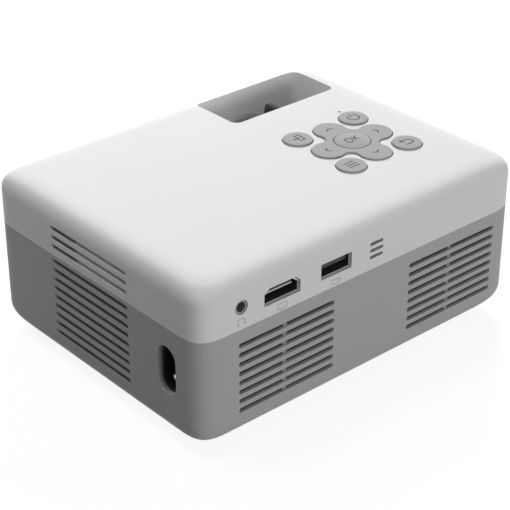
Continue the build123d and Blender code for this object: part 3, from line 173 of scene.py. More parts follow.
class Finish(Graph):
    """A material built from nodes, with its Principled shader at hand."""

    def __init__(self, name):
        self.material = bpy.data.materials.new(name)
        self.material.use_nodes = True
        super().__init__(self.material.node_tree)
        self.shader = self.tree.nodes["Principled BSDF"]
        self.places = self.node("ShaderNodeTexCoord").out("Object")

    def set(self, **inputs):
        """Feeds the Principled shader; underscores in the names stand for spaces."""
        for key, value in inputs.items():
            self.feed(self.shader.inputs[key.replace("_", " ")], value)

    def base_colour(self):
        """What feeds the base colour so far."""
        return Value(self, self.shader.inputs["Base Color"].links[0].from_socket)

    def axis(self, name, places=None):
        """One coordinate of the places, or of another vector."""
        return self.node("ShaderNodeSeparateXYZ", {}, {"Vector": places or self.places}).out(name)

    def noise(self, grain, detail=2.0, roughness=0.5, places=None):
        """Noise whose grains are about this many millimetres across, from 0 to 1."""
        inputs = {
            "Vector": places or self.places,
            "Scale": 1.0 / (grain * MM),
            "Detail": detail,
            "Roughness": roughness,
        }
        return self.node("ShaderNodeTexNoise", {"noise_dimensions": "3D"}, inputs).out("Fac")

    def cells(self, pitch, feature="F1"):
        """The distances in Voronoi cells about this many millimetres across."""
        inputs = {"Vector": self.places, "Scale": 1.0 / (pitch * MM)}
        return self.node("ShaderNodeTexVoronoi", {"feature": feature}, inputs).out("Distance")

    def stretched(self, x, y, z):
        """The places, stretched along the axes."""
        return self.node("ShaderNodeMapping", {}, {"Vector": self.places, "Scale": (x, y, z)}).out("Vector")

    def from_middle(self, centre):
        """The places, measured from a point."""
        shift = {"Vector": self.places, "Location": tuple(-v for v in centre)}
        return self.node("ShaderNodeMapping", {}, shift).out("Vector")

    def radius_in(self, centre, first, second):
        """The distance from an axis through a point, in metres; the two names are the axes across it."""
        centred = self.from_middle(centre)
        u = self.axis(first, centred)
        v = self.axis(second, centred)
        return (u * u + v * v).power(0.5)

    def rings(self, centre, first, second, pitch):
        """Waves round an axis through a point, this many millimetres apart, from -1 to 1."""
        return (self.radius_in(centre, first, second) * (2 * math.pi / (pitch * MM))).wave()

    def range(self, value, low, high, to_low=0.0, to_high=1.0):
        """Maps a value from one range to another, held at its ends."""
        inputs = {"Value": value, "From Min": low, "From Max": high, "To Min": to_low, "To Max": to_high}
        return self.node("ShaderNodeMapRange", {"clamp": True}, inputs).out()

    def vary(self, noise, low, high):
        """Spreads most of a noise, 0.3 to 0.7, from low to high."""
        return self.range(noise, 0.3, 0.7, low, high)

    def bump(self, height, depth, strength=1.0):
        """Raises the surface by height times depth, in millimetres."""
        inputs = {"Height": height, "Distance": depth * MM, "Strength": strength}
        self.set(Normal=self.node("ShaderNodeBump", {}, inputs).out("Normal"))

    def dress(self, *names):
        """Puts the finish on CAD nodes."""
        for name in names:
            mesh = nodes[name].data
            mesh.materials.clear()
            mesh.materials.append(self.material)


def neutral(level):
    """A colour without hue."""
    return (level, level, level)


def shade(colour, factor):
    """A colour made lighter or darker."""
    return tuple(min(1.0, channel * factor) for channel in colour)


# Finishes

BLACK = (0.018, 0.018, 0.019)


def moulded_plastic(name, colour, grain=0.35, depth=0.012, roughness=0.5, gloss=0.4, speckle=0.02):
    """Fine spark-eroded moulding: a shallow grain, and roughness and shade that vary a little."""
    finish = Finish(name)
    fine = finish.noise(grain, detail=3.0)
    broad = finish.noise(14.0, detail=2.0)
    tone = finish.vary(fine * 0.5 + broad * 0.5, 0.0, 1.0)
    finish.set(
        Base_Color=finish.mix(tone, shade(colour, 1 - speckle), shade(colour, 1 + speckle)),
        Roughness=finish.vary(fine, roughness - 0.05, roughness + 0.05),
        Specular_IOR_Level=gloss,
    )
    finish.bump(fine, depth)
    return finish


def paint_slot_shade(finish, rear_slot_shade, side_slot_shade, rear_low, rear_high, ribs=()):
    """Paints shade on the slots' walls and the case's inside behind them, a painted lit lip paler at the
    rear mouths, and painted shade on the ribs; places along x are in millimetres.
    """
    # Painted light at the slots' outer lips; painted shade deeper in the slots, behind them and on the
    # recessed ribs.
    lit_mouth_colour = neutral(0.95)
    shaded_rib_colour = neutral(0.27)
    skin = 0.3 * MM
    reach = 9.0 * MM
    mouth_depth = 1.5 * MM
    rib_half = 0.85 * MM
    rib_recess = 0.85 * MM
    lowest, highest = 9.0 * MM, 55.0 * MM
    side_low, side_high = -23.0 * MM, 22.0 * MM
    x = finish.axis("X")
    y = finish.axis("Y")
    level = finish.axis("Z").within(lowest, highest)
    behind = y.within(rear_y - reach, rear_y - skin) * x.within(rear_low * MM, rear_high * MM)
    beside = x.size().within(side_x - reach, side_x - skin) * y.within(side_low, side_high)
    mouth = finish.range(y, rear_y - mouth_depth, rear_y - skin)
    base = finish.base_colour()
    shaded = finish.mix(mouth, rear_slot_shade, lit_mouth_colour)
    for rib in ribs:
        on_rib = ((x - rib * MM).size() < rib_half) * (y < (rear_y - rib_recess))
        shaded = finish.mix(on_rib, shaded, shaded_rib_colour)
    with_rear = finish.mix(behind * level, base, shaded)
    finish.set(Base_Color=finish.mix(beside * level, with_rear, side_slot_shade))


def make_white_plastic():
    """The upper case, with painted shade in its slots and painted light in the rear part of the slots on the
    inlet's side, and the lens bay, painted lighter than the case to stand in for light.
    """
    # Painted shade: the slot walls darker than the case's plastic.
    slot_shade_colour = neutral(0.5)
    finish = moulded_plastic("white_plastic", neutral(0.775), roughness=0.48, gloss=0.35, speckle=0.008)
    # Painted light: paler slot walls in the rear part of the slots on the inlet's side.
    painted_light_part = finish.range(finish.axis("Y"), -9.0 * MM, -7.5 * MM)
    on_inlet_side = finish.axis("X") > 0.0
    side_slot_shade = finish.mix(painted_light_part * on_inlet_side, slot_shade_colour, neutral(0.95))
    paint_slot_shade(finish, slot_shade_colour, side_slot_shade, rear_low=-9.0, rear_high=3.5)
    finish.dress("top_shell")
    # Painted light: the lens bay is the case's white plastic, painted lighter where the well lies in shade.
    bay = moulded_plastic("bay_plastic_painted_light", (0.97, 0.97, 0.965), roughness=0.5, gloss=0.3, speckle=0.008)
    bay.dress("lens_bay")


def make_grey_plastic():
    grey = neutral(0.43)
    rib_places = (36.55, -39.85)
    finish = moulded_plastic("grey_plastic", grey, grain=0.3, roughness=0.55, gloss=0.3, speckle=0.015)
    # Painted shade in the slots, with a painted lit lip at the rear mouths and painted shade on the ribs.
    paint_slot_shade(finish, neutral(0.17), neutral(0.36), rear_low=-62.0, rear_high=60.0, ribs=rib_places)
    finish.dress("bottom_shell")


def make_key_plastic():
    finish = moulded_plastic("key_plastic", neutral(0.37), grain=0.2, depth=0.006, roughness=0.42)
    finish.dress("power_key", "source_key", "back_key", "menu_key", "ok_key", "nav_pad", "nav_gimbal")


def make_black_plastic():
    finish = moulded_plastic("black_plastic", BLACK, grain=0.25, roughness=0.42, gloss=0.45, speckle=0.1)
    finish.dress("lens_retainer", "fan_frame", "fan_rotor", "data_socket_tongue", "remote_receiver")
    finish.dress("mains_inlet")


def make_focus_ring_finish():
    """A pale ring with a black lever."""
    finish = Finish("focus_ring")
    lever_root = 18.3 * MM
    lever = finish.radius_in(lens_middle, "X", "Z") > lever_root
    fine = finish.noise(0.25, detail=3.0)
    finish.set(
        Base_Color=finish.mix(lever, neutral(0.5), BLACK),
        Roughness=finish.vary(fine, 0.38, 0.48),
    )
    finish.bump(fine, 0.01)
    finish.dress("focus_ring")


def make_barrel_finish():
    """Pale where the barrel and its mount show in the well, black inside against stray light."""
    finish = Finish("lens_barrel")
    skin_radius = 14.6 * MM
    hidden_length = 8.0 * MM
    outside = finish.radius_in(lens_middle, "X", "Z") > skin_radius
    shown = outside * (finish.axis("Y") > (case_low.y + hidden_length))
    fine = finish.noise(0.25, detail=3.0)
    finish.set(
        Base_Color=finish.mix(shown, BLACK, neutral(0.55)),
        Roughness=finish.vary(fine, 0.38, 0.48),
    )
    finish.bump(fine, 0.01)
    finish.dress("lens_barrel", "lens_mount")


def make_video_tongue_with_painted_highlight():
    """Black, with a painted highlight: a pale line along the edge that faces the plug."""
    finish = Finish("video_socket_tongue")
    highlight_depth = 0.3 * MM
    highlight_top = 0.4 * MM
    # Painted highlight along the tongue's front edge.
    at_front = finish.axis("Y") > (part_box("video_socket_tongue")[1].y - highlight_depth)
    edge = at_front * (finish.axis("Z") < (middle("video_socket_tongue").z + highlight_top))
    fine = finish.noise(0.2, detail=3.0)
    finish.set(
        Base_Color=finish.mix(edge, BLACK, (0.62, 0.62, 0.61)),
        Roughness=finish.vary(fine, 0.35, 0.45),
    )
    finish.bump(fine, 0.004)
    finish.dress("video_socket_tongue")


def make_audio_jack_finish():
    """Black inside the case, with a dull grey collar in the wall."""
    finish = Finish("audio_jack")
    collar_depth = 6.0 * MM
    collar = finish.axis("Y") > (rear_y - collar_depth)
    fine = finish.noise(0.2, detail=3.0)
    finish.set(
        Base_Color=finish.mix(collar, (0.08, 0.08, 0.082), (0.33, 0.33, 0.325)),
        Metallic=collar * 0.35,
        Roughness=finish.vary(fine, 0.34, 0.46),
    )
    finish.bump(fine, 0.004)
    finish.dress("audio_jack")


def make_bezel_finish():
    """Dark and smooth in front, pale where the sleeve's end shows in the well."""
    dark = (0.045, 0.045, 0.048)
    rim_depth = 2.0 * MM
    finish = moulded_plastic("bezel_plastic", dark, grain=0.18, depth=0.006, roughness=0.3, gloss=0.5)
    sleeve_end = finish.axis("Y") > (case_low.y + rim_depth)
    finish.set(Base_Color=finish.mix(sleeve_end, finish.base_colour(), neutral(0.6)))
    finish.dress("lens_bezel")


def make_engine_plastic():
    """Glass-filled plastic: dark, with short pale fibres showing at the skin."""
    finish = Finish("engine_plastic")
    fibres = finish.noise(0.5, detail=4.0, places=finish.stretched(1.0, 5.0, 1.0))
    shown = finish.range(fibres, 0.58, 0.72)
    finish.set(
        Base_Color=finish.mix(shown, (0.03, 0.03, 0.032), neutral(0.085)),
        Roughness=finish.vary(fibres, 0.5, 0.7),
    )
    finish.bump(fibres, 0.02)
    finish.dress("engine_housing", "engine_cover")


def make_foot_rubber():
    finish = Finish("foot_rubber")
    fine = finish.noise(0.25, detail=4.0, roughness=0.7)
    dust = finish.range(finish.noise(2.5, detail=3.0), 0.5, 0.75)
    finish.set(
        Base_Color=finish.mix(dust, neutral(0.022), (0.045, 0.044, 0.042)),
        Roughness=finish.vary(fine, 0.75, 0.92),
    )
    finish.bump(fine, 0.03)
    finish.dress("rubber_feet")


def metal(name, colour, grain, roughness, stretch=(1.0, 1.0, 1.0), stain=0.12, depth=0.004):
    """Bare metal with fine lines along the stretch and faint stains."""
    finish = Finish(name)
    lines = finish.noise(grain, detail=4.0, places=finish.stretched(*stretch))
    stains = finish.noise(4.0, detail=2.0)
    finish.set(
        Base_Color=finish.mix(stains, shade(colour, 1 - stain), colour),
        Metallic=1.0,
        Roughness=finish.vary(lines, roughness * 0.75, roughness * 1.25),
    )
    finish.bump(lines, depth)
    return finish


def make_screw_steel():
    """Zinc plating with its blotchy, faintly warm passivation."""
    finish = Finish("screw_steel")
    blotches = finish.noise(1.2, detail=3.0)
    finish.set(
        Base_Color=finish.mix(blotches, (0.42, 0.42, 0.4), (0.62, 0.62, 0.6)),
        Metallic=1.0,
        Roughness=finish.vary(blotches, 0.28, 0.45),
    )
    finish.bump(finish.noise(0.15, detail=2.0), 0.004)
    finish.dress("case_screws", "board_screws", "engine_screws")


def make_brass_bush():
    """Turned brass: rings round the bush's axis."""
    finish = Finish("brass_bush")
    rings = finish.rings(middle("tripod_insert"), "X", "Y", pitch=0.18)
    finish.set(
        Base_Color=finish.mix(finish.noise(1.5), (0.55, 0.36, 0.13), (0.72, 0.5, 0.2)),
        Metallic=1.0,
        Roughness=finish.range(rings, -1.0, 1.0, 0.22, 0.34),
    )
    finish.bump(rings, 0.003)
    finish.dress("tripod_insert")


def make_lens_glass():
    """Coated glass: clear, with the coating's faint colour and a little dust."""
    finish = Finish("lens_glass")
    dust = finish.range(finish.noise(0.6, detail=5.0, roughness=0.7), 0.62, 0.8, 0.0, 0.08)
    finish.set(Base_Color=(0.97, 0.985, 0.98), Roughness=dust, Transmission_Weight=1.0, IOR=1.52)
    finish.set(Thin_Film_Thickness=390.0, Thin_Film_IOR=1.38)
    finish.dress("front_lens", "middle_lens", "rear_lens", "condenser_lens")


def make_clear_sheets():
    """Stepped lens sheets with their fine rings, and the plain heat glass."""
    finish = Finish("clear_sheet")
    step_width = 0.5 * MM
    steps = (finish.radius_in(lens_middle, "X", "Z") / step_width).fraction()
    finish.set(Base_Color=(0.93, 0.95, 0.95), Transmission_Weight=1.0, IOR=1.49)
    finish.set(Roughness=finish.range(steps, 0.0, 1.0, 0.04, 0.12))
    finish.bump(steps, 0.05)
    finish.dress("front_fresnel", "rear_fresnel")
    plain = Finish("heat_glass")
    plain.set(Base_Color=(0.86, 0.93, 0.9), Transmission_Weight=1.0, IOR=1.5)
    plain.set(Roughness=plain.range(plain.noise(1.0), 0.4, 0.8, 0.0, 0.06))
    plain.dress("heat_glass")


def make_panel_glass():
    """The picture panel: near black, with its grid of dots."""
    finish = Finish("panel_glass")
    dot_pitch = 0.18 * MM
    dot_share = 0.82
    across = (finish.axis("X") / dot_pitch).fraction() > dot_share
    down = (finish.axis("Z") / dot_pitch).fraction() > dot_share
    grid = (across + down).clamped()
    finish.set(
        Base_Color=finish.mix(grid, (0.03, 0.035, 0.05), (0.008, 0.008, 0.01)),
        Roughness=finish.range(grid, 0.0, 1.0, 0.08, 0.2),
    )
    finish.dress("lcd_panel")


def make_reflector():
    finish = metal("reflector", (0.86, 0.87, 0.88), 2.0, 0.08, stain=0.04, depth=0.002)
    finish.dress("light_cone")


def make_lamp_board():
    """White mask over aluminium, with the outline of its copper."""
    finish = Finish("lamp_board")
    copper = finish.range(finish.cells(3.0, "DISTANCE_TO_EDGE"), 0.02, 0.05)
    finish.set(
        Base_Color=finish.mix(copper, (0.72, 0.72, 0.7), (0.82, 0.82, 0.8)),
        Roughness=finish.vary(finish.noise(0.4), 0.35, 0.5),
    )
    finish.bump(copper, 0.03)
    finish.dress("led_board")


def make_emitter():
    """Yellow phosphor over a grid of chips."""
    finish = Finish("led_emitter")
    chip_pitch = 1.1 * MM
    half_share = 0.36
    centred = finish.from_middle(middle("led_emitter"))
    row = ((finish.axis("X", centred) / chip_pitch).fraction() - 0.5).size() < half_share
    column = ((finish.axis("Z", centred) / chip_pitch).fraction() - 0.5).size() < half_share
    chips = row * column
    finish.set(
        Base_Color=finish.mix(chips, (0.86, 0.62, 0.1), (0.9, 0.7, 0.2)),
        Roughness=finish.vary(finish.noise(0.3), 0.25, 0.45),
    )
    finish.bump(chips, 0.04)
    finish.dress("led_emitter")


def make_sink():
    """Black anodised aluminium with draw lines along the fins, also on the processor's cooler."""
    finish = Finish("anodised_sink")
    lines = finish.noise(0.25, detail=4.0, places=finish.stretched(1.0, 1.0, 0.03))
    finish.set(
        Base_Color=finish.mix(lines, (0.025, 0.025, 0.027), (0.05, 0.05, 0.053)),
        Metallic=0.6,
        Roughness=finish.vary(lines, 0.4, 0.6),
    )
    finish.bump(lines, 0.01)
    finish.dress("heat_sink", "processor")


def make_circuit_board():
    """Green mask with copper tracks under it and a few bright pads."""
    finish = Finish("circuit_board")
    tracks = finish.range(finish.cells(2.6, "DISTANCE_TO_EDGE"), 0.05, 0.09, 1.0, 0.0)
    pads = finish.range(finish.cells(3.7), 0.1, 0.13, 1.0, 0.0)
    masked = finish.mix(tracks, (0.012, 0.085, 0.035), (0.03, 0.16, 0.07))
    finish.set(
        Base_Color=finish.mix(pads, masked, (0.6, 0.6, 0.58)),
        Metallic=pads * 0.9,
        Roughness=finish.vary(finish.noise(0.8), 0.22, 0.36),
    )
    finish.bump(tracks + pads, 0.03)
    finish.dress("main_board", "keypad_board", "power_board")


def make_switches():
    """Pressed metal covers with dark plungers."""
    finish = Finish("switch_metal")
    plunger_height = 0.55 * MM
    plunger = finish.axis("Z") > (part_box("tact_switches")[1].z - plunger_height)
    lines = finish.noise(0.2, detail=4.0, places=finish.stretched(0.1, 1.0, 1.0))
    finish.set(
        Base_Color=finish.mix(plunger, (0.6, 0.6, 0.58), neutral(0.03)),
        Metallic=0.95 - plunger * 0.95,
        Roughness=finish.vary(lines, 0.28, 0.42),
    )
    finish.bump(lines, 0.004)
    finish.dress("tact_switches")


def make_light_pipe():
    """A glossy, smoky rod, unlit."""
    finish = Finish("light_pipe")
    haze = finish.noise(0.5, detail=3.0)
    finish.set(
        Base_Color=finish.mix(haze, (0.09, 0.09, 0.1), (0.14, 0.14, 0.15)),
        Roughness=finish.vary(haze, 0.12, 0.25),
        Coat_Weight=0.5,
    )
    finish.dress("status_light_pipe")


def make_socket_metal():
    """Tinned steel at the rim, and painted shade inside, dull and dark."""
    finish = Finish("socket_metal")
    rim_depth = 1.15 * MM
    rim = finish.axis("Y") > (rear_y - rim_depth)
    lines = finish.noise(0.3, detail=4.0, places=finish.stretched(1.0, 0.08, 1.0))
    # Painted shade: the shell's inside darker and duller than its tinned rim.
    finish.set(
        Base_Color=finish.mix(rim, neutral(0.045), (0.6, 0.6, 0.59)),
        Metallic=rim * 0.8,
        Roughness=finish.vary(lines, 0.36, 0.5),
    )
    finish.bump(lines, 0.004)
    finish.dress("video_socket_shell", "data_socket_shell")


def make_speaker_basket():
    """Pressed steel, dulled by a dark oxide."""
    finish = metal("speaker_basket", (0.12, 0.12, 0.125), 0.5, 0.5, stain=0.3, depth=0.008)
    finish.dress("speaker_basket")


def make_pin_metal():
    finish = metal("pin_metal", (0.6, 0.6, 0.59), 0.25, 0.26, stretch=(0.1, 1.0, 1.0), stain=0.05)
    finish.dress("inlet_pins")


def make_capacitors():
    """Dark sleeves with a pale stripe down one side, open on the can at the end."""
    stripe_pitch = 11.0 * MM
    stripe_start = 0.78
    for name, can_at_top in (("mains_capacitors", True), ("board_capacitors", False)):
        finish = Finish(name)
        stripe = (finish.axis("X") / stripe_pitch).fraction() > stripe_start
        upright = finish.axis("Z", finish.node("ShaderNodeNewGeometry").out("Normal"))
        end = upright > 0.9 if can_at_top else upright < -0.9
        creases = finish.noise(0.8)
        sleeve = finish.mix(stripe, (0.012, 0.016, 0.035), (0.45, 0.46, 0.48))
        finish.set(
            Base_Color=finish.mix(end, sleeve, neutral(0.7)),
            Metallic=end * 0.95,
            Roughness=finish.vary(creases, 0.2, 0.34),
        )
        finish.bump(creases, 0.006)
        finish.dress(name)


def make_transformer_finish():
    """A ferrite core, yellow tape round the winding and a dark base."""
    finish = Finish("transformer")
    half_winding = 5.97 * MM
    half_core = 7.05 * MM
    base_height = 2.0 * MM
    centred = finish.from_middle(middle("transformer"))
    within_winding = finish.axis("X", centred).size() < half_winding
    proud = finish.axis("Y", centred).size() > half_core
    above = finish.axis("Z") > (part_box("transformer")[0].z + base_height)
    tape = within_winding * proud * above
    grains = finish.noise(0.3, detail=4.0)
    finish.set(
        Base_Color=finish.mix(tape, (0.035, 0.034, 0.033), (0.72, 0.5, 0.05)),
        Roughness=finish.vary(grains, 0.45, 0.7) - tape * 0.2,
    )
    finish.bump(grains, 0.02)
    finish.dress("transformer")


def make_speaker_cone():
    """Coated paper with pressed rings."""
    finish = Finish("paper_cone")
    rings = finish.rings(middle("speaker_cone"), "X", "Z", pitch=1.6)
    pulp = finish.noise(0.4, detail=5.0, roughness=0.7)
    finish.set(
        Base_Color=finish.mix(pulp, (0.02, 0.02, 0.021), neutral(0.05)),
        Roughness=finish.vary(pulp, 0.6, 0.85),
    )
    finish.bump(rings + pulp * 0.3, 0.05)
    finish.dress("speaker_cone")


def make_lead_finishes():
    """Insulated leads in the colours of their uses."""
    sheaths = {
        "mains_lead_lower": (0.16, 0.06, 0.03),
        "mains_lead_upper": (0.03, 0.1, 0.32),
        "fan_lead": neutral(0.03),
        "lamp_lead": (0.42, 0.03, 0.02),
        "speaker_lead": (0.45, 0.43, 0.4),
    }
    for name, colour in sheaths.items():
        finish = Finish(name)
        scuffs = finish.noise(0.7, detail=4.0)
        finish.set(
            Base_Color=finish.mix(scuffs, shade(colour, 0.85), shade(colour, 1.15)),
            Roughness=finish.vary(scuffs, 0.35, 0.5),
        )
        finish.bump(scuffs, 0.01)
        finish.dress(name)


def make_ink(name, colour):
    """Printed ink, a little uneven in shade and gloss."""
    finish = Finish(name)
    dots = finish.noise(0.12, detail=2.0)
    finish.set(
        Base_Color=finish.mix(dots, shade(colour, 0.92), shade(colour, 1.08)),
        Roughness=finish.vary(dots, 0.4, 0.55),
    )
    return finish.material


def make_foam():
    """Grey foam rubber with its small cells."""
    finish = Finish("seal_foam")
    pores = finish.noise(0.2, detail=5.0, roughness=0.7)
    finish.set(
        Base_Color=finish.mix(pores, neutral(0.24), neutral(0.36)),
        Roughness=finish.vary(pores, 0.85, 1.0),
    )
    finish.bump(pores, 0.05)
    return finish.material


def make_plating():
    finish = metal("contact_plating", (0.8, 0.78, 0.72), 0.2, 0.22, stretch=(1.0, 0.1, 1.0))
    return finish.material


# Printed icons: strokes in millimetres in a reading frame, u to the right and v upwards

def arc(u, v, radius, start, stop, steps=14):
    """Points on an arc, its angles in degrees."""
    points = []
    for step in range(steps + 1):
        angle = math.radians(start + (stop - start) * step / steps)
        points.append((u + radius * math.cos(angle), v + radius * math.sin(angle)))
    return points


def reading_place(u_axis, v_axis, origin):
    """The matrix from the reading frame to a surface."""
    u = Vector(u_axis)
    v = Vector(v_axis)
    place = Matrix((u, v, u.cross(v))).transposed().to_4x4()
    place.translation = origin
    return place


def close_points(points, step=0.4):
    """The same stroke with points no further apart than the step, so that it can follow a dome."""
    close = [points[0]]
    for (u0, v0), (u1, v1) in zip(points, points[1:]):
        parts = max(1, math.ceil(math.hypot(u1 - u0, v1 - v0) / step))
        for part in range(1, parts + 1):
            share = part / parts
            close.append((u0 + (u1 - u0) * share, v0 + (v1 - v0) * share))
    return close


def printed(name, strokes, width, place, body, material, dome=0.0):
    """Round-ended strokes flattened to a film of ink; dome is the radius of the surface under them."""
    film = 0.03
    curve = bpy.data.curves.new(name, "CURVE")
    curve.dimensions = "3D"
    curve.bevel_depth = width / 2
    curve.bevel_resolution = 2
    curve.use_fill_caps = True
    for points in map(close_points, strokes):
        spline = curve.splines.new("POLY")
        spline.points.add(len(points) - 1)
        for target, (u, v) in zip(spline.points, points):
            target.co = (u, v, 0.0, 1.0)
    drawn = bpy.data.objects.new(name, curve)
    mesh = bpy.data.meshes.new_from_object(drawn)
    bpy.data.objects.remove(drawn)
    mesh.transform(Matrix.Diagonal((1.0, 1.0, film / width, 1.0)))
    for vertex in mesh.vertices:
        if dome:
            vertex.co.z -= (vertex.co.x ** 2 + vertex.co.y ** 2) / (2 * dome)
        vertex.co *= MM
    mesh.transform(place)
    mesh.materials.append(material)
    icon = bpy.data.objects.new(name, mesh)
    bpy.context.scene.collection.objects.link(icon)
    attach(icon, body)


def top_place(node):
    """The reading place on top of a key: read from behind the case."""
    spot = middle(node)
    spot.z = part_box(node)[1].z
    return reading_place((-1, 0, 0), (0, -1, 0), spot)


def rear_place(x, z):
    """The reading place on the rear wall."""
    return reading_place((-1, 0, 0), (0, 0, 1), Vector((x, rear_y, z)))


def make_key_icons(ink):
    """The icons of the four round keys, the middle key and the pad."""
    line = 0.6
    lettering_line = 0.58
    power = [arc(0, 0, 2.2, 125, 415, 24), [(0, 0.6), (0, 2.9)]]
    source = [
        [(-0.6, 1.9), (1.9, 1.9), (1.9, -1.9), (-0.6, -1.9)],
        [(-2.2, 0), (0.5, 0)],
        [(-0.5, 0.95), (0.5, 0), (-0.5, -0.95)],
    ]
    back = [
        [(-2.0, -1.5), (0.9, -1.5)] + arc(0.9, 0, 1.5, -90, 90, 12) + [(-2.0, 1.5)],
        [(-1.0, 2.5), (-2.1, 1.5), (-1.0, 0.5)],
    ]
    menu = [[(-2.3, v), (2.3, v)] for v in (1.65, 0, -1.65)]
    for key, strokes in (("power", power), ("source", source), ("back", back), ("menu", menu)):
        printed(f"{key}_icon", strokes, line, top_place(f"{key}_key"), f"{key}_key", ink)
    round_o = arc(-1.75, 0.55, 1.05, 0, 180, 10) + arc(-1.75, -0.55, 1.05, 180, 360, 10)
    round_o.append(round_o[0])
    ok = [
        round_o,
        [(0.6, -1.6), (0.6, 1.6)],
        [(2.6, 1.6), (0.75, -0.1)],
        [(1.25, 0.35), (2.7, -1.6)],
    ]
    cap_radius = 6.5
    dome_rise = 0.5
    dome = (cap_radius ** 2 + dome_rise ** 2) / (2 * dome_rise)
    printed("ok_lettering", ok, lettering_line, top_place("ok_key"), "ok_key", ink, dome)
    reach = 12.0
    half_width = 1.5
    half_rise = 0.6
    corner = ((-half_width, reach - half_rise), (0, reach + half_rise), (half_width, reach - half_rise))
    chevrons = []
    for turn in (0, 90, 180, 270):
        turned = Matrix.Rotation(math.radians(turn), 2)
        chevrons.append([tuple(turned @ Vector(point)) for point in corner])
    printed("direction_marks", chevrons, line, top_place("nav_pad"), "nav_pad", ink)


def make_rear_icons(ink):
    """Small pictograms under the sockets: headphones, a screen and a memory stick."""
    line = 0.3
    drop = 5.5 * MM
    jack_drop = 2.5 * MM
    jack = middle("audio_jack")
    video = middle("video_socket_shell")
    data = middle("data_socket_shell")
    headphones = [
        arc(0, 0, 1.5, 10, 170, 12),
        [(-1.5, 0.2), (-1.5, -0.9)],
        [(-1.1, -0.1), (-1.1, -1.0)],
        [(1.5, 0.2), (1.5, -0.9)],
        [(1.1, -0.1), (1.1, -1.0)],
    ]
    screen = [
        [(-1.9, -0.7), (-1.9, 1.2), (1.9, 1.2), (1.9, -0.7), (-1.9, -0.7)],
        [(-0.8, -1.3), (0.8, -1.3)],
    ]
    stick = [
        [(-1.9, -0.8), (-1.9, 0.8), (0.9, 0.8), (0.9, -0.8), (-1.9, -0.8)],
        [(0.9, 0.5), (2.0, 0.5), (2.0, -0.5), (0.9, -0.5)],
    ]
    for name, strokes, place in (
        ("headphone_mark", headphones, rear_place(jack.x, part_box("audio_jack")[0].z - jack_drop)),
        ("screen_mark", screen, rear_place(video.x, video.z - drop)),
        ("stick_mark", stick, rear_place(data.x, data.z - drop)),
    ):
        printed(name, strokes, line, place, "case", ink)


# Contacts and the light seal, made with mesh operators

def new_piece(name, bm, material, body):
    """Turns a bmesh into a piece that rides on a body."""
    bmesh.ops.recalc_face_normals(bm, faces=bm.faces)
    mesh = bpy.data.meshes.new(name)
    bm.to_mesh(mesh)
    bm.free()
    mesh.materials.append(material)
    piece = bpy.data.objects.new(name, mesh)
    bpy.context.scene.collection.objects.link(piece)
    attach(piece, body)


def add_strip(bm, low, high, edge):
    """A metal strip between two corners, with softened edges."""
    made = bmesh.ops.create_cube(bm, size=1.0)["verts"]
    bmesh.ops.scale(bm, verts=made, vec=high - low)
    bmesh.ops.translate(bm, verts=made, vec=(low + high) / 2)
    edges = list({e for v in made for e in v.link_edges})
    bmesh.ops.bevel(bm, geom=edges, offset=edge, segments=2, profile=0.5, affect="EDGES", material=-1)


def add_contacts(name, tongue, plating, count, pitch, width, rise):
    """Plated strips along a socket's tongue, in millimetres; rise is their height over its middle."""
    setback = 1.2 * MM
    length = 4.8 * MM
    half_thickness = 0.09 * MM
    edge = 0.03 * MM
    half_width = width / 2 * MM
    centre = middle(tongue)
    z = centre.z + rise * MM
    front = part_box(tongue)[1].y - setback
    bm = bmesh.new()
    for index in range(count):
        x = centre.x + (index - (count - 1) / 2) * pitch * MM
        low = Vector((x - half_width, front - length, z - half_thickness))
        high = Vector((x + half_width, front, z + half_thickness))
        add_strip(bm, low, high, edge)
    new_piece(name, bm, plating, "case")


def make_socket_contacts(plating):
    """The strips on the tongues of the two flat sockets."""
    add_contacts("video_contacts", "video_socket_tongue", plating, 10, pitch=1.05, width=0.62, rise=1.1)
    add_contacts("data_contacts", "data_socket_tongue", plating, 4, pitch=2.4, width=1.1, rise=0.2)


def make_light_seal(foam):
    """A foam rubber ring in the bezel's sleeve, round the barrel, that shuts out the daylight."""
    play = 0.03 * MM
    outer = 15.87 * MM
    setback = 1.6 * MM
    thickness = 1.2 * MM
    low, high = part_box("lens_barrel")
    inner = (high.x - low.x) / 2 + play
    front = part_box("lens_bezel")[1].y - setback
    back = front + thickness
    corners = ((inner, front), (outer, front), (outer, back), (inner, back))
    bm = bmesh.new()
    section = [bm.verts.new((lens_middle.x + radius, y, lens_middle.z)) for radius, y in corners]
    sides = [bm.edges.new(ends) for ends in zip(section, section[1:] + section[:1])]
    bmesh.ops.spin(
        bm, geom=section + sides, cent=lens_middle, axis=(0, 1, 0), angle=2 * math.pi,
        steps=96, use_merge=True,
    )
    new_piece("light_seal", bm, foam, "case")


# Floor, light and camera

def make_floor():
    """A plain floor that looks white where it is lit and keeps the case's shadow."""
    bm = bmesh.new()
    bmesh.ops.create_grid(bm, x_segments=1, y_segments=1, size=6.0)
    mesh = bpy.data.meshes.new("floor")
    bm.to_mesh(mesh)
    bm.free()
    floor = bpy.data.objects.new("floor", mesh)
    bpy.context.scene.collection.objects.link(floor)
    finish = Finish("floor")
    glow = finish.seen_directly() * 0.9
    grain = finish.noise(1.5, detail=2.0)
    finish.set(
        Base_Color=finish.mix(grain, neutral(0.175), neutral(0.185)),
        Roughness=1.0,
        Specular_IOR_Level=0.0,
        Emission_Color=finish.mix(glow, neutral(0.0), neutral(1.0)),
        Emission_Strength=1.0,
    )
    mesh.materials.append(finish.material)


def make_world(level):
    """An even soft light that shows as white."""
    world = bpy.data.worlds.new("studio")
    bpy.context.scene.world = world
    world.use_nodes = True
    graph = Graph(world.node_tree)
    colour = graph.mix(graph.seen_directly(), neutral(level), neutral(1.0))
    graph.feed(graph.tree.nodes["Background"].inputs["Color"], colour)


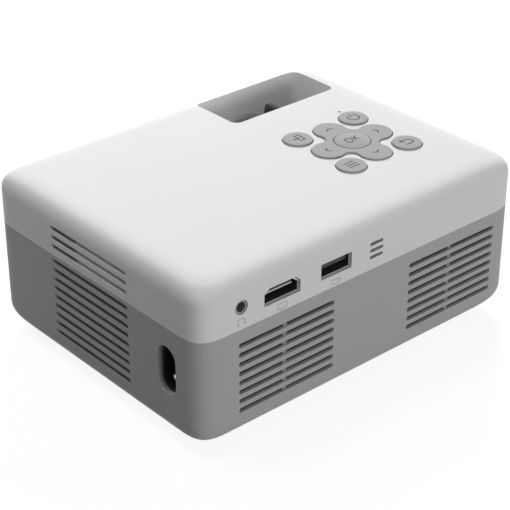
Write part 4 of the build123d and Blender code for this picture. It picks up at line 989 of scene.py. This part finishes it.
def add_lamp(name, place, target, size, power, colour):
    """A square soft lamp that points at a target."""
    light = bpy.data.lights.new(name, "AREA")
    light.shape = "SQUARE"
    light.size = size
    light.energy = power
    light.color = colour
    lamp = bpy.data.objects.new(name, light)
    bpy.context.scene.collection.objects.link(lamp)
    lamp.location = place
    lamp.rotation_euler = (Vector(target) - Vector(place)).to_track_quat("-Z", "Y").to_euler()
    lamp.visible_camera = False
    lamp.visible_glossy = False
    lamp.visible_transmission = False


def make_lights():
    """A near lamp overhead, one at a slant beyond the far corner, and one behind the case."""
    cool = (0.985, 0.99, 1.0)
    warm = (1.0, 0.996, 0.985)
    top = (0.0, 0.0, 0.06)
    rear = (0.0, 0.0, 0.03)
    add_lamp("top_lamp", (0.15, -0.15, 0.56), top, size=0.25, power=1.2, colour=cool)
    add_lamp("corner_lamp", (-0.95, -0.95, 0.78), top, size=0.5, power=25.0, colour=cool)
    add_lamp("rear_lamp", (0.06, 1.4, 0.2), rear, size=0.6, power=10.3, colour=warm)


def make_camera():
    """The photograph's view: the place and direction fitted to the case's corners and slots."""
    camera = bpy.data.cameras.new("camera")
    camera.lens = 112.4
    camera.sensor_width = 36.0
    camera.clip_end = 50.0
    viewer = bpy.data.objects.new("camera", camera)
    bpy.context.scene.collection.objects.link(viewer)
    back = Vector((0.5711, 0.6551, 0.4949))
    viewer.location = (0.32574, 0.37243, 0.30639)
    viewer.rotation_mode = "QUATERNION"
    viewer.rotation_quaternion = (-back).to_track_quat("-Z", "Y")
    bpy.context.scene.camera = viewer


make_white_plastic()
make_grey_plastic()
make_key_plastic()
make_black_plastic()
make_focus_ring_finish()
make_barrel_finish()
make_video_tongue_with_painted_highlight()
make_audio_jack_finish()
make_bezel_finish()
make_engine_plastic()
make_foot_rubber()
make_screw_steel()
make_brass_bush()
make_lens_glass()
make_clear_sheets()
make_panel_glass()
make_reflector()
make_lamp_board()
make_emitter()
make_sink()
make_circuit_board()
make_switches()
make_light_pipe()
make_socket_metal()
make_speaker_basket()
make_pin_metal()
make_capacitors()
make_transformer_finish()
make_speaker_cone()
make_lead_finishes()

make_key_icons(make_ink("key_ink", (0.075, 0.075, 0.078)))
make_rear_icons(make_ink("rear_ink", neutral(0.42)))
make_socket_contacts(make_plating())
make_light_seal(make_foam())

make_floor()
make_world(0.14)
make_lights()
make_camera()
bpy.context.scene.view_settings.view_transform = "Standard"
